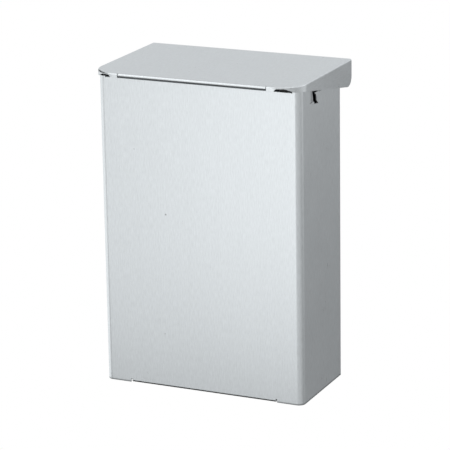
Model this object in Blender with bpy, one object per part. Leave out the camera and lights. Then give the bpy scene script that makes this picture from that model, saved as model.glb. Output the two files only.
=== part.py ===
"""Wall-hung waste bin of folded stainless steel sheet, with a flap lid.

Metres, +Z up, -Y towards the user, +Y into the wall. The origin is the centre of the wall bracket's back face.
The bracket stays on the wall. The container hangs on it by a rail and lifts straight up and off.
The lid turns on a rod that two lugs carry behind the container's back panel, and falls shut by its own weight.
"""

import math

import bmesh
import bpy
from mathutils import Matrix

# Sheet, and the gap between two pieces that rest on each other
SHEET = 0.0012
HARDWARE_SHEET = 0.0020
SEAT = 0.0003

# Container
BODY_WIDTH = 0.206
BODY_DEPTH = 0.0963
BODY_HEIGHT = 0.301
FRONT_BEND_RADIUS = 0.0065
EDGE_BEND_RADIUS = 0.0022
RETURN_WIDTH = 0.012
REAR_RIM_DROP = 0.0074
RIM_HEM_DEPTH = 0.009
RIM_HEM_MARGIN = 0.0015
HEM_RELIEF_WIDTH = 0.0007
BOTTOM_FOLD_INSET = 0.02775
BOTTOM_FOLD_DEPTH = 0.012
FOLD_RELIEF_WIDTH = 0.0015
FOLD_RELIEF_DEPTH = 0.0012
PAN_FLANGE_HEIGHT = 0.012

# Bag notch in each side wall: a slot with a toe at its foot, and in front of it a tab that is bent inwards
NOTCH_START = 0.0223
TAB_DROP = 0.0148
TAB_TOP_WIDTH = 0.0060
TAB_FOOT_WIDTH = 0.0098
TAB_ANGLE = math.radians(6)
TAB_CUT = 0.0004
SLOT_LENGTH = 0.0066
SLOT_DROP = 0.0172
NOSE_RADIUS = 0.0078
NOSE_DROP = 0.0065
HEEL_HEIGHT = 0.0022
TOE_LENGTH = 0.0038
TOE_HEIGHT = 0.0006
TOE_FALL = 0.0015

# Lid
LID_RISE = 0.0069
LID_SIDE_GAP = 0.0006
LID_FRONT_OVERHANG = 0.0142
LID_WALL_GAP = 0.0045
LID_CORNER_RADIUS = 0.025
LID_BEND_RADIUS = 0.0018
LID_HEM_INSET = 0.0301
LID_HEM_RADIUS = 0.0019
LID_HEM_DEPTH = 0.008
FLANGE_FRONT_DEPTH = 0.0029
FLANGE_BACK_DEPTH = 0.0270
FLANGE_CORNER_RADIUS = 0.0090

# Hinge
ROD_RADIUS = 0.0020
HINGE_BEHIND_BACK = 0.0100
HINGE_BELOW_LID = 0.0063
LUG_INSET = 0.022
LUG_END_RADIUS = 0.0053
LUG_FOOT_WIDTH = 0.014
LUG_FOOT_HEIGHT = 0.020
BUSH_WALL = 0.0008
BUSH_FLANGE_WIDTH = 0.0019
BUSH_FLANGE_THICKNESS = 0.0014
EAR_SHEET = 0.0015
EAR_FOOT_WIDTH = 0.014
EAR_LENGTH = 0.016
HEEL_RADIUS = 0.0035
LID_OPEN_ANGLE = math.radians(85)
NUT_THICKNESS = 0.0012
NUT_RIM = 0.0017
ROD_END = 0.0030
BUMPER_RADIUS = 0.0045
BUMPER_INSET = 0.017

# Hanging rail on the container, wall bracket and lower spacer
STANDOFF = 0.0278
HANG_HEIGHT = 0.2558
BRACKET_INSET = 0.028
BRACKET_HEIGHT = 0.050
HOOK_HEIGHT = 0.020
HOOK_GAP = 0.015
HOOK_OVERLAP = 0.0135
RAIL_INSET = 0.043
RAIL_FOOT_HEIGHT = 0.026
HARDWARE_BEND_RADIUS = 0.0012
SCREW_SLOT_WIDTH = 0.0055
SCREW_SLOT_LENGTH = 0.014
SCREW_SLOT_INSET = 0.025
SCREW_SLOT_RISE = 0.006
SPACER_INSET = 0.048
SPACER_CROWN = 0.020
SPACER_FOOT = 0.010
SPACER_HEIGHT = 0.040
PAD_RADIUS = 0.007
PAD_THICKNESS = 0.0030
PAD_INSET = 0.013

BEND_STEPS = 6
CORNER_STEPS = 12
ROUND_STEPS = 24

# Places that follow from the sizes above. An inset is measured from the side of the body or of the carrying piece
BODY_HALF_WIDTH = BODY_WIDTH / 2
FOLD_HALF_LENGTH = BODY_HALF_WIDTH - BOTTOM_FOLD_INSET
LUG_POSITION = BODY_HALF_WIDTH - LUG_INSET
BUMPER_POSITION = BODY_HALF_WIDTH - BUMPER_INSET
BRACKET_HALF_WIDTH = BODY_HALF_WIDTH - BRACKET_INSET
RAIL_HALF_WIDTH = BODY_HALF_WIDTH - RAIL_INSET
SCREW_SLOT_POSITION = BRACKET_HALF_WIDTH - SCREW_SLOT_INSET
SPACER_HALF_WIDTH = BODY_HALF_WIDTH - SPACER_INSET
PAD_POSITION = SPACER_HALF_WIDTH - PAD_INSET
BACK_Y = -STANDOFF
FRONT_Y = BACK_Y - BODY_DEPTH
BOTTOM_Z = -HANG_HEIGHT
RIM_Z = BOTTOM_Z + BODY_HEIGHT
REAR_RIM_Z = RIM_Z - REAR_RIM_DROP
PANEL_BACK_Y = BACK_Y - SHEET - SEAT
PANEL_FRONT_Y = PANEL_BACK_Y - SHEET
LID_TOP_Z = RIM_Z + LID_RISE
LID_UNDER_Z = LID_TOP_Z - SHEET
LID_HALF_WIDTH = BODY_HALF_WIDTH + LID_SIDE_GAP + SHEET
LID_HEM_HALF_LENGTH = LID_HALF_WIDTH - LID_HEM_INSET
LID_FRONT_Y = FRONT_Y - LID_FRONT_OVERHANG
LID_BACK_Y = -LID_WALL_GAP
AXIS_Y = BACK_Y + HINGE_BEHIND_BACK
AXIS_Z = LID_UNDER_Z - HINGE_BELOW_LID
BUSH_BORE = ROD_RADIUS + SEAT
BUSH_RADIUS = BUSH_BORE + BUSH_WALL
RIM_HEM_RADIUS = SHEET + SEAT / 2
HOOK_Y = -HARDWARE_SHEET - HOOK_GAP
LEDGE_Z = -BRACKET_HEIGHT / 2
HOOK_TOP_Z = LEDGE_Z + HOOK_HEIGHT


def clear_scene():
    for item in list(bpy.data.objects):
        bpy.data.objects.remove(item, do_unlink=True)


def make_material(name, colour, roughness, metallic):
    material = bpy.data.materials.new(name)
    material.use_nodes = True
    shader = material.node_tree.nodes["Principled BSDF"]
    shader.inputs["Base Color"].default_value = (*colour, 1.0)
    shader.inputs["Roughness"].default_value = roughness
    shader.inputs["Metallic"].default_value = metallic
    return material


def make_object(name, mesh, material, parent=None):
    item = bpy.data.objects.new(name, mesh)
    bpy.context.scene.collection.objects.link(item)
    mesh.materials.append(material)
    item.parent = parent
    return item


def make_empty(name, place, parent=None):
    """An empty that marks a joint. Its pieces are modelled in world places, so it carries their inverse shift."""
    item = bpy.data.objects.new(name, None)
    item.location = place
    bpy.context.scene.collection.objects.link(item)
    item.parent = parent
    return item


def attach(pieces, empty):
    """Parents pieces to a joint's empty and moves each origin onto the joint's axis."""
    centre = empty.matrix_world.translation
    for item in pieces:
        item.data.transform(Matrix.Translation(-centre))
        item.parent = empty


def finish_mesh(name, work, smooth_angle=40):
    bmesh.ops.recalc_face_normals(work, faces=work.faces)
    mesh = bpy.data.meshes.new(name)
    work.to_mesh(mesh)
    work.free()
    mesh.shade_smooth()
    mesh.set_sharp_from_angle(angle=math.radians(smooth_angle))
    return mesh


def arc(centre, radius, start, end, steps):
    """Points on a circle from one angle to another, both ends included."""
    angles = [start + (end - start) * i / steps for i in range(steps + 1)]
    return [(centre[0] + radius * math.cos(a), centre[1] + radius * math.sin(a)) for a in angles]


def loft_mesh(name, first, last):
    """A closed solid between two flat outlines with as many points."""
    work = bmesh.new()
    rings = [[work.verts.new(point) for point in outline] for outline in (first, last)]
    work.faces.new(rings[0])
    work.faces.new(list(reversed(rings[1])))
    count = len(first)
    for i in range(count):
        j = (i + 1) % count
        work.faces.new((rings[0][i], rings[1][i], rings[1][j], rings[0][j]))
    return finish_mesh(name, work)


def prism_mesh(name, outline, place, start, end):
    """A flat outline carried along the one axis that it lacks. place(u, v, w) gives the point in space."""
    return loft_mesh(name, *[[place(u, v, w) for u, v in outline] for w in (start, end)])


def along_x(u, v, w):
    """Outline in Y and Z, carried along X."""
    return (w, u, v)


def along_y(u, v, w):
    """Outline in X and Z, carried along Y."""
    return (u, w, v)


def along_z(u, v, w):
    """Outline in X and Y, carried along Z."""
    return (u, v, w)


def turned_mesh(name, profile, place):
    """A closed profile of (distance along the axis, radius) points, turned a full circle round the axis."""
    work = bmesh.new()
    rings = []
    for k in range(ROUND_STEPS):
        angle = 2 * math.pi * k / ROUND_STEPS
        rings.append([
            work.verts.new(place(a, r * math.cos(angle), r * math.sin(angle))) for a, r in profile
        ])
    count = len(profile)
    for k in range(ROUND_STEPS):
        ring, following = rings[k], rings[(k + 1) % ROUND_STEPS]
        for i in range(count):
            j = (i + 1) % count
            work.faces.new((ring[i], ring[j], following[j], following[i]))
    bmesh.ops.remove_doubles(work, verts=work.verts, dist=1e-7)
    return finish_mesh(name, work)


def strip_outline(path, thickness, radius):
    """Outline of a bent strip: the centre line's corners are rounded, then it is given its thickness."""
    centre, normals = [], []
    for i, point in enumerate(path):
        if i in (0, len(path) - 1):
            other = path[1] if i == 0 else path[-2]
            sign = 1 if i == 0 else -1
            dx, dy = sign * (other[0] - point[0]), sign * (other[1] - point[1])
            length = math.hypot(dx, dy)
            centre.append(point)
            normals.append((-dy / length, dx / length))
            continue
        before, after = path[i - 1], path[i + 1]
        a = math.atan2(point[1] - before[1], point[0] - before[0])
        b = math.atan2(after[1] - point[1], after[0] - point[0])
        turn = (b - a + math.pi) % (2 * math.pi) - math.pi
        side = 1 if turn > 0 else -1
        middle_radius = radius + thickness / 2
        setback = middle_radius * math.tan(abs(turn) / 2)
        start = (point[0] - setback * math.cos(a), point[1] - setback * math.sin(a))
        hub = (start[0] - side * middle_radius * math.sin(a), start[1] + side * middle_radius * math.cos(a))
        for k in range(BEND_STEPS + 1):
            angle = a + turn * k / BEND_STEPS
            normal = (-math.sin(angle), math.cos(angle))
            centre.append((hub[0] - side * middle_radius * normal[0], hub[1] - side * middle_radius * normal[1]))
            normals.append(normal)
    half = thickness / 2
    left = [(p[0] + n[0] * half, p[1] + n[1] * half) for p, n in zip(centre, normals)]
    right = [(p[0] - n[0] * half, p[1] - n[1] * half) for p, n in zip(centre, normals)]
    return left + right[::-1]


def add_solidify(item, thickness):
    """Gives a sheet's outer surface its thickness, inwards."""
    thicken = item.modifiers.new("sheet thickness", "SOLIDIFY")
    thicken.thickness = thickness
    thicken.offset = -1.0
    thicken.use_even_offset = True
    thicken.use_quality_normals = True


def add_boolean(item, tool, operation):
    """Cuts or joins with a hidden tool object."""
    tool.hide_render = True
    tool.display_type = "WIRE"
    change = item.modifiers.new(operation.lower(), "BOOLEAN")
    change.operation = operation
    change.solver = "EXACT"
    change.object = tool


def sheet_mesh(name, faces):
    """A sheet's outer surface from quads and polygons given as point lists in space, wound to face outwards."""
    work = bmesh.new()
    for points in faces:
        work.faces.new([work.verts.new(p) for p in points])
    bmesh.ops.remove_doubles(work, verts=work.verts, dist=1e-6)
    mesh = bpy.data.meshes.new(name)
    work.to_mesh(mesh)
    work.free()
    mesh.shade_smooth()
    mesh.set_sharp_from_angle(angle=math.radians(40))
    return mesh


def fold_steps(radius, sweep, run, steps):
    """(inset, drop) pairs of a bend that leaves a sheet's edge, then runs straight on.

    The bend starts on the outer surface, heading down the sheet, and turns inwards through sweep.
    """
    pairs = [(radius - radius * math.cos(sweep * k / steps), radius * math.sin(sweep * k / steps))
             for k in range(steps + 1)]
    last = pairs[-1]
    pairs.append((last[0] + run * math.sin(sweep), last[1] + run * math.cos(sweep)))
    return pairs


# ---------------------------------------------------------------------------------------------- container


def notch_places():
    """Y of the tab's bend, of the slot's front edge, of the step in the rim and of the toe's end."""
    bend_y = FRONT_Y + NOTCH_START
    slot_y = bend_y + TAB_FOOT_WIDTH
    return bend_y, slot_y, slot_y + SEAT, slot_y + SLOT_LENGTH + TOE_LENGTH


def side_hem_places():
    """Y where the hem on a side wall's rim starts behind the notch, and where it ends ahead of the rear bend."""
    return notch_places()[3] + 2 * RIM_HEM_MARGIN, BACK_Y - EDGE_BEND_RADIUS - RIM_HEM_MARGIN


def shell_columns():
    """Plan points of the shell's outer surface from the left return to the right one, with the inward direction.

    Each entry is (x, y, inward x, inward y). The edges of every fold, hem and relief have a point of their own.
    """
    half = BODY_HALF_WIDTH
    hem_front = half - FRONT_BEND_RADIUS - RIM_HEM_MARGIN
    hem_start_y, hem_end_y = side_hem_places()
    left = [(-half + RETURN_WIDTH, BACK_Y, 0, -1)]
    for k in range(BEND_STEPS + 1):
        a = math.pi / 2 * (1 + k / BEND_STEPS)
        x = -half + EDGE_BEND_RADIUS + EDGE_BEND_RADIUS * math.cos(a)
        y = BACK_Y - EDGE_BEND_RADIUS + EDGE_BEND_RADIUS * math.sin(a)
        left.append((x, y, -math.cos(a), -math.sin(a)))
    bend_y, _, step_y, _ = notch_places()
    gap = HEM_RELIEF_WIDTH
    for y in (hem_end_y, hem_end_y - gap, hem_start_y + gap, hem_start_y, step_y, bend_y):
        left.append((-half, y, 1, 0))
    for k in range(BEND_STEPS + 1):
        a = math.pi * (1 + k / (2 * BEND_STEPS))
        x = -half + FRONT_BEND_RADIUS + FRONT_BEND_RADIUS * math.cos(a)
        y = FRONT_Y + FRONT_BEND_RADIUS + FRONT_BEND_RADIUS * math.sin(a)
        left.append((x, y, -math.cos(a), -math.sin(a)))
    fold_end = FOLD_HALF_LENGTH
    for x in (hem_front, hem_front - gap, fold_end + FOLD_RELIEF_WIDTH, fold_end):
        left.append((-x, FRONT_Y, 0, 1))
    right = [(-x, y, -nx, ny) for x, y, nx, ny in reversed(left)]
    return left + right


def column_edges(middle):
    """What the sheet does at the foot and at the rim of one column, and how high the rim is.

    The foot and the rim are each plain, folded or cut away, as a relief or as the tab's window.
    """
    x, y = abs(middle[0]), middle[1]
    half = BODY_HALF_WIDTH
    bend_y, _, step_y, _ = notch_places()
    foot, rim = "plain", "plain"
    top = RIM_Z if y < step_y else REAR_RIM_Z
    if y < FRONT_Y + SEAT:
        fold_end = FOLD_HALF_LENGTH
        hem_end = half - FRONT_BEND_RADIUS - RIM_HEM_MARGIN
        if x < fold_end:
            foot = "fold"
        elif x < fold_end + FOLD_RELIEF_WIDTH:
            foot = "relief"
        if x < hem_end - HEM_RELIEF_WIDTH:
            rim = "fold"
        elif x < hem_end:
            rim = "relief"
    if x > half - SEAT:
        hem_start_y, hem_end_y = side_hem_places()
        if bend_y < y < step_y:
            rim = "window"
        elif hem_start_y + HEM_RELIEF_WIDTH < y < hem_end_y - HEM_RELIEF_WIDTH:
            rim = "fold"
        elif hem_start_y < y < hem_end_y:
            rim = "relief"
    return foot, rim, top


def tab_faces(levels):
    """Facets of the two tabs beside the bag notches, which bend inwards off the walls in front of them."""
    half = BODY_HALF_WIDTH
    bend_y = notch_places()[0]
    foot_z = RIM_Z - TAB_DROP
    rows = []
    for z in levels:
        if foot_z <= z <= RIM_Z:
            width = TAB_FOOT_WIDTH + (TAB_TOP_WIDTH - TAB_FOOT_WIDTH) * (z - foot_z) / TAB_DROP
            tip_x = half - width * math.sin(TAB_ANGLE)
            rows.append((z, tip_x, bend_y + width * math.cos(TAB_ANGLE)))
    faces = []
    for (z, tip_x, tip_y), (up, up_x, up_y) in zip(rows, rows[1:]):
        faces.append([(-tip_x, tip_y, z), (-half, bend_y, z), (-half, bend_y, up), (-up_x, up_y, up)])
        faces.append([(half, bend_y, z), (tip_x, tip_y, z), (up_x, up_y, up), (half, bend_y, up)])
    return faces


def shell_faces():
    """Every facet of the shell's outer surface: walls, tabs, bottom fold and rim hems."""
    fold_z = BOTTOM_Z + EDGE_BEND_RADIUS
    tab_z = RIM_Z - TAB_DROP
    levels = [BOTTOM_Z, fold_z, fold_z + FOLD_RELIEF_DEPTH, tab_z - TAB_CUT, tab_z]
    for top in (REAR_RIM_Z, RIM_Z):
        levels += [top - RIM_HEM_RADIUS, top]
    levels.sort()
    foot_level = {"plain": BOTTOM_Z, "fold": fold_z, "relief": fold_z + FOLD_RELIEF_DEPTH}
    rim_drop = {"plain": 0.0, "fold": RIM_HEM_RADIUS, "relief": RIM_HEM_RADIUS, "window": TAB_DROP + TAB_CUT}
    bottom_fold = fold_steps(EDGE_BEND_RADIUS, math.pi / 2, BOTTOM_FOLD_DEPTH - EDGE_BEND_RADIUS, BEND_STEPS)
    rim_hem = fold_steps(RIM_HEM_RADIUS, math.pi, RIM_HEM_DEPTH - RIM_HEM_RADIUS, BEND_STEPS)
    columns = shell_columns()
    faces = tab_faces(levels)
    for a, b in zip(columns, columns[1:]):
        foot, rim, top = column_edges(((a[0] + b[0]) / 2, (a[1] + b[1]) / 2))
        low, high = foot_level[foot], top - rim_drop[rim]
        rows = [z for z in levels if low <= z <= high]
        for z, up in zip(rows, rows[1:]):
            faces.append([(a[0], a[1], z), (b[0], b[1], z), (b[0], b[1], up), (a[0], a[1], up)])
        if foot == "fold":
            faces += folded_strip(a, b, low, -1, bottom_fold)
        if rim == "fold":
            faces += folded_strip(a, b, high, 1, rim_hem)
    return faces


def folded_strip(a, b, level, direction, steps):
    """Facets of a fold that leaves the edge a-b at a level, downwards (-1) or upwards (1)."""
    faces = []
    for (inset, drop), (next_inset, next_drop) in zip(steps, steps[1:]):
        near = [(p[0] + p[2] * inset, p[1] + p[3] * inset, level + direction * drop) for p in (a, b)]
        far = [(p[0] + p[2] * next_inset, p[1] + p[3] * next_inset, level + direction * next_drop) for p in (a, b)]
        quad = [near[0], near[1], far[1], far[0]]
        faces.append(quad if direction > 0 else quad[::-1])
    return faces


def notch_outline():
    """Outline in Y and Z of the bag notch's slot: its straight front, its toe, its heel and its curved nose."""
    above = RIM_Z + SHEET
    _, slot_y, _, toe_y = notch_places()
    slot_z = RIM_Z - SLOT_DROP
    heel_y = slot_y + SLOT_LENGTH
    nose_start = math.asin(NOSE_DROP / NOSE_RADIUS)
    nose = arc((heel_y - NOSE_RADIUS, REAR_RIM_Z - NOSE_DROP), NOSE_RADIUS, 0, nose_start, CORNER_STEPS)
    return [
        (slot_y, above),
        (slot_y, slot_z),
        (toe_y, slot_z - TOE_FALL),
        (toe_y, slot_z - TOE_FALL + TOE_HEIGHT),
        (heel_y, slot_z + HEEL_HEIGHT),
    ] + nose + [(nose[-1][0], above)]


def build_container_shell(steel):
    shell = make_object("container_shell", sheet_mesh("container_shell", shell_faces()), steel)
    add_solidify(shell, SHEET)
    reach = BODY_HALF_WIDTH + SHEET
    cutter = make_object("notch_cutter", prism_mesh("notch_cutter", notch_outline(), along_x, -reach, reach), steel)
    add_boolean(shell, cutter, "DIFFERENCE")
    return shell


def panel_faces(half_width, bottom, top):
    """Rear panel's outer surface, with a hem folded into the container along its top edge."""
    hem_end = half_width - RIM_HEM_MARGIN - RETURN_WIDTH
    gap_end = hem_end + HEM_RELIEF_WIDTH
    stops = [-half_width, -gap_end, -hem_end, hem_end, gap_end, half_width]
    hem_z = top - RIM_HEM_RADIUS
    hem = fold_steps(RIM_HEM_RADIUS, math.pi, RIM_HEM_DEPTH - RIM_HEM_RADIUS, BEND_STEPS)
    faces = []
    for i, (left, right) in enumerate(zip(stops, stops[1:])):
        levels = [bottom, hem_z]
        if i in (0, 4):
            levels.append(top)
        for z, up in zip(levels, levels[1:]):
            faces.append([(right, PANEL_BACK_Y, z), (left, PANEL_BACK_Y, z),
                          (left, PANEL_BACK_Y, up), (right, PANEL_BACK_Y, up)])
        if i == 2:
            a, b = (right, PANEL_BACK_Y, 0, -1), (left, PANEL_BACK_Y, 0, -1)
            faces += folded_strip(a, b, hem_z, 1, hem)
    return faces


def build_rear_panel(steel):
    half_width = BODY_HALF_WIDTH - SHEET - SEAT
    faces = panel_faces(half_width, BOTTOM_Z, REAR_RIM_Z)
    panel = make_object("rear_panel", sheet_mesh("rear_panel", faces), steel)
    add_solidify(panel, SHEET)
    return panel


def pan_faces():
    """Floor pan's outer surface: a plate whose corners are cut out, with an upturned flange along each edge."""
    x_out = BODY_HALF_WIDTH - SHEET - SEAT
    y_back = PANEL_FRONT_Y - SEAT
    y_front = FRONT_Y + SHEET + SEAT
    floor_z = BOTTOM_Z + SHEET + SEAT
    cut = FRONT_BEND_RADIUS + FOLD_RELIEF_WIDTH
    r = EDGE_BEND_RADIUS
    flange = fold_steps(r, math.pi / 2, 0, BEND_STEPS)[:-1]
    middle_y = (y_front + y_back) / 2
    half_depth = (y_back - y_front) / 2
    corners = []
    for sx, sy in ((-1, -1), (1, -1), (1, 1), (-1, 1)):
        inner = (sx * (x_out - cut), middle_y + sy * (half_depth - cut))
        on_x_edge = (sx * (x_out - r), inner[1])
        on_y_edge = (inner[0], middle_y + sy * (half_depth - r))
        order = (on_x_edge, inner, on_y_edge) if sx == sy else (on_y_edge, inner, on_x_edge)
        corners += [(x, y, floor_z) for x, y in order]
    faces = [corners[::-1]]
    edges = (
        ((-(x_out - cut), y_front), (x_out - cut, y_front), (0, 1)),
        ((x_out, middle_y - half_depth + cut), (x_out, middle_y + half_depth - cut), (-1, 0)),
        ((x_out - cut, y_back), (-(x_out - cut), y_back), (0, -1)),
        ((-x_out, middle_y + half_depth - cut), (-x_out, middle_y - half_depth + cut), (1, 0)),
    )
    for start, end, inward in edges:
        rows = [[(p[0] + inward[0] * inset, p[1] + inward[1] * inset, floor_z + r - drop) for p in (start, end)]
                for inset, drop in flange]
        top = [(p[0], p[1], floor_z + PAN_FLANGE_HEIGHT) for p in (start, end)]
        rows.insert(0, top)
        for upper, lower in zip(rows, rows[1:]):
            faces.append([lower[0], lower[1], upper[1], upper[0]])
    return faces


def build_floor_pan(steel):
    pan = make_object("floor_pan", sheet_mesh("floor_pan", pan_faces()), steel)
    add_solidify(pan, SHEET)
    return pan


def hook_clearance():
    """Play behind the bracket's lip, so that the square edge of the lip stays clear of the rail's inner bend."""
    r = HARDWARE_BEND_RADIUS
    return r - math.sqrt(r * r - (r - SEAT) ** 2) + SEAT


def hook_outlines():
    """Outlines in Y and Z of the wall bracket and of the container's hanging rail, which hooks over its lip."""
    t = HARDWARE_SHEET
    plate_y = -t / 2
    lip_y = HOOK_Y - t / 2
    bracket = strip_outline(
        [(plate_y, BRACKET_HEIGHT / 2), (plate_y, LEDGE_Z + t / 2), (lip_y, LEDGE_Z + t / 2), (lip_y, HOOK_TOP_Z)],
        t, HARDWARE_BEND_RADIUS)
    foot_y = PANEL_BACK_Y + SEAT + t / 2
    web_z = HOOK_TOP_Z + SEAT + t / 2
    rail_y = HOOK_Y + hook_clearance() + t / 2
    rail = strip_outline(
        [(foot_y, web_z - RAIL_FOOT_HEIGHT), (foot_y, web_z), (rail_y, web_z), (rail_y, HOOK_TOP_Z - HOOK_OVERLAP)],
        t, HARDWARE_BEND_RADIUS)
    return bracket, rail


def slot_outline(centre_x, centre_z):
    """An upright slot with round ends, in X and Z."""
    radius = SCREW_SLOT_WIDTH / 2
    reach = (SCREW_SLOT_LENGTH - SCREW_SLOT_WIDTH) / 2
    upper = arc((centre_x, centre_z + reach), radius, 0, math.pi, CORNER_STEPS)
    lower = arc((centre_x, centre_z - reach), radius, math.pi, 2 * math.pi, CORNER_STEPS)
    return upper + lower


def build_wall_bracket(steel):
    outline = hook_outlines()[0]
    mesh = prism_mesh("wall_bracket", outline, along_x, -BRACKET_HALF_WIDTH, BRACKET_HALF_WIDTH)
    bracket = make_object("wall_bracket", mesh, steel)
    for side, label in ((-1, "left"), (1, "right")):
        name = f"screw_slot_{label}"
        shape = slot_outline(side * SCREW_SLOT_POSITION, SCREW_SLOT_RISE)
        cutter_mesh = prism_mesh(name, shape, along_y, -2 * HARDWARE_SHEET, HARDWARE_SHEET)
        add_boolean(bracket, make_object(name, cutter_mesh, steel), "DIFFERENCE")
    return bracket


def build_hanging_rail(steel):
    outline = hook_outlines()[1]
    mesh = prism_mesh("hanging_rail", outline, along_x, -RAIL_HALF_WIDTH, RAIL_HALF_WIDTH)
    return make_object("hanging_rail", mesh, steel)


def build_rear_spacer(steel):
    """A hat-shaped strip that holds the container's foot off the wall."""
    t = HARDWARE_SHEET
    foot_y = PANEL_BACK_Y + SEAT + t / 2
    crown_y = -PAD_THICKNESS - SEAT - t / 2
    centre_z = BOTTOM_Z + SPACER_HEIGHT
    wall_z = SPACER_CROWN / 2
    end_z = wall_z + SPACER_FOOT
    path = [(foot_y, centre_z + end_z), (foot_y, centre_z + wall_z), (crown_y, centre_z + wall_z),
            (crown_y, centre_z - wall_z), (foot_y, centre_z - wall_z), (foot_y, centre_z - end_z)]
    outline = strip_outline(path, t, HARDWARE_BEND_RADIUS)
    mesh = prism_mesh("rear_spacer", outline, along_x, -SPACER_HALF_WIDTH, SPACER_HALF_WIDTH)
    return make_object("rear_spacer", mesh, steel)


def build_spacer_pads(rubber):
    pads = []
    edge = PAD_THICKNESS / 4
    profile = [(-PAD_THICKNESS, 0), (-PAD_THICKNESS, PAD_RADIUS), (-edge, PAD_RADIUS), (0, PAD_RADIUS - edge), (0, 0)]
    for side, label in ((-1, "left"), (1, "right")):
        centre_x, centre_z = side * PAD_POSITION, BOTTOM_Z + SPACER_HEIGHT

        def place(along, u, v, x=centre_x, z=centre_z):
            return (x + u, along, z + v)

        pads.append(make_object(f"spacer_pad_{label}", turned_mesh("spacer_pad", profile, place), rubber))
    return pads


# ---------------------------------------------------------------------------------------------- hinge


def lug_ear_outline():
    """Side view of a hinge lug's ear: from its foot on the rear panel to a round end on the hinge axis."""
    foot_y = PANEL_BACK_Y + SEAT
    low_z = REAR_RIM_Z - LUG_FOOT_HEIGHT
    round_end = arc((AXIS_Y, AXIS_Z), LUG_END_RADIUS, -math.pi / 3, math.pi, CORNER_STEPS)
    return [(foot_y, low_z), (foot_y + HARDWARE_SHEET, low_z)] + round_end + [(foot_y, REAR_RIM_Z - SEAT)]


def circle_outline(centre, radius):
    return arc(centre, radius, 0, 2 * math.pi * (1 - 1 / ROUND_STEPS), ROUND_STEPS - 1)


def build_hinge_lugs(steel):
    lugs = []
    t = HARDWARE_SHEET
    foot_y = PANEL_BACK_Y + SEAT
    low_z = REAR_RIM_Z - LUG_FOOT_HEIGHT
    for side, label in ((-1, "left"), (1, "right")):
        near, far = side * (LUG_POSITION - t / 2), side * (LUG_POSITION + t / 2)
        name = f"hinge_lug_{label}"
        lug = make_object(name, prism_mesh(name, lug_ear_outline(), along_x, near, far), steel)
        foot = [(far, foot_y), (far, foot_y + t), (side * (LUG_POSITION - LUG_FOOT_WIDTH), foot_y + t),
                (side * (LUG_POSITION - LUG_FOOT_WIDTH), foot_y)]
        foot_mesh = prism_mesh(f"{name}_foot", foot, along_z, low_z, REAR_RIM_Z - SEAT)
        add_boolean(lug, make_object(f"{name}_foot", foot_mesh, steel), "UNION")
        bore = prism_mesh(f"{name}_bore", circle_outline((AXIS_Y, AXIS_Z), BUSH_RADIUS + SEAT), along_x,
                          side * (LUG_POSITION - t), side * (LUG_POSITION + t))
        add_boolean(lug, make_object(f"{name}_bore", bore, steel), "DIFFERENCE")
        lugs.append(lug)
    return lugs


def about_axis(side):
    """Places a turned profile on the hinge axis, its length measured outwards from the container's middle."""

    def place(along, u, v):
        return (side * along, AXIS_Y + u, AXIS_Z + v)

    return place


def ear_inner_x():
    """Distance from the middle to the inner face of a lid ear."""
    return LUG_POSITION + HARDWARE_SHEET / 2 + SEAT + BUSH_FLANGE_THICKNESS + SEAT


def build_bushes(plastic):
    """Flanged plastic sleeves that line the lugs and keep the lid's ears off them."""
    inner = LUG_POSITION - HARDWARE_SHEET / 2 - SEAT
    shoulder = LUG_POSITION + HARDWARE_SHEET / 2 + SEAT
    outer = shoulder + BUSH_FLANGE_THICKNESS
    rim = BUSH_RADIUS + BUSH_FLANGE_WIDTH
    profile = [(inner, BUSH_BORE), (inner, BUSH_RADIUS), (shoulder, BUSH_RADIUS), (shoulder, rim), (outer, rim),
               (outer, BUSH_BORE)]
    return [make_object(f"hinge_bush_{label}", turned_mesh("hinge_bush", profile, about_axis(side)), plastic)
            for side, label in ((-1, "left"), (1, "right"))]


def rod_half_length():
    """The rod ends a little past the push nuts."""
    return ear_inner_x() + EAR_SHEET + SEAT + NUT_THICKNESS + ROD_END


def build_hinge_rod(steel):
    half, chamfer = rod_half_length(), ROD_RADIUS / 4
    profile = [(-half, 0), (-half, ROD_RADIUS - chamfer), (-half + chamfer, ROD_RADIUS),
               (half - chamfer, ROD_RADIUS), (half, ROD_RADIUS - chamfer), (half, 0)]
    return make_object("hinge_rod", turned_mesh("hinge_rod", profile, about_axis(1)), steel)


def build_push_nuts(steel):
    """Dished washers pressed on the rod outside the lid's ears."""
    start = ear_inner_x() + EAR_SHEET + SEAT
    bore, rim, dish = ROD_RADIUS + SEAT, ROD_RADIUS + NUT_RIM, NUT_THICKNESS / 2
    profile = [(start, rim), (start + dish, rim), (start + NUT_THICKNESS, (bore + rim) / 2),
               (start + NUT_THICKNESS, bore), (start + dish, bore), (start + dish, (bore + rim) / 2)]
    return [make_object(f"push_nut_{label}", turned_mesh("push_nut", profile, about_axis(side)), steel)
            for side, label in ((-1, "left"), (1, "right"))]


def heel_drop():
    """How far the heel's centre hangs below the hinge axis, so that it meets the rear panel when the lid is open."""
    reach = AXIS_Y - PANEL_BACK_Y - SEAT
    return (reach - HEEL_RADIUS) / math.sin(LID_OPEN_ANGLE)


def ear_outline():
    """Side view of a lid ear: a tongue from the lid down past the rod, ending in the round heel that stops it."""
    top_z = LID_UNDER_Z - SEAT
    half = EAR_LENGTH / 2
    heel = arc((AXIS_Y, AXIS_Z - heel_drop()), HEEL_RADIUS, math.pi, 2 * math.pi, CORNER_STEPS)
    return [(AXIS_Y - half, top_z), (AXIS_Y - half, top_z - EAR_SHEET)] + heel + [
        (AXIS_Y + half, top_z - EAR_SHEET), (AXIS_Y + half, top_z)]


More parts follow.
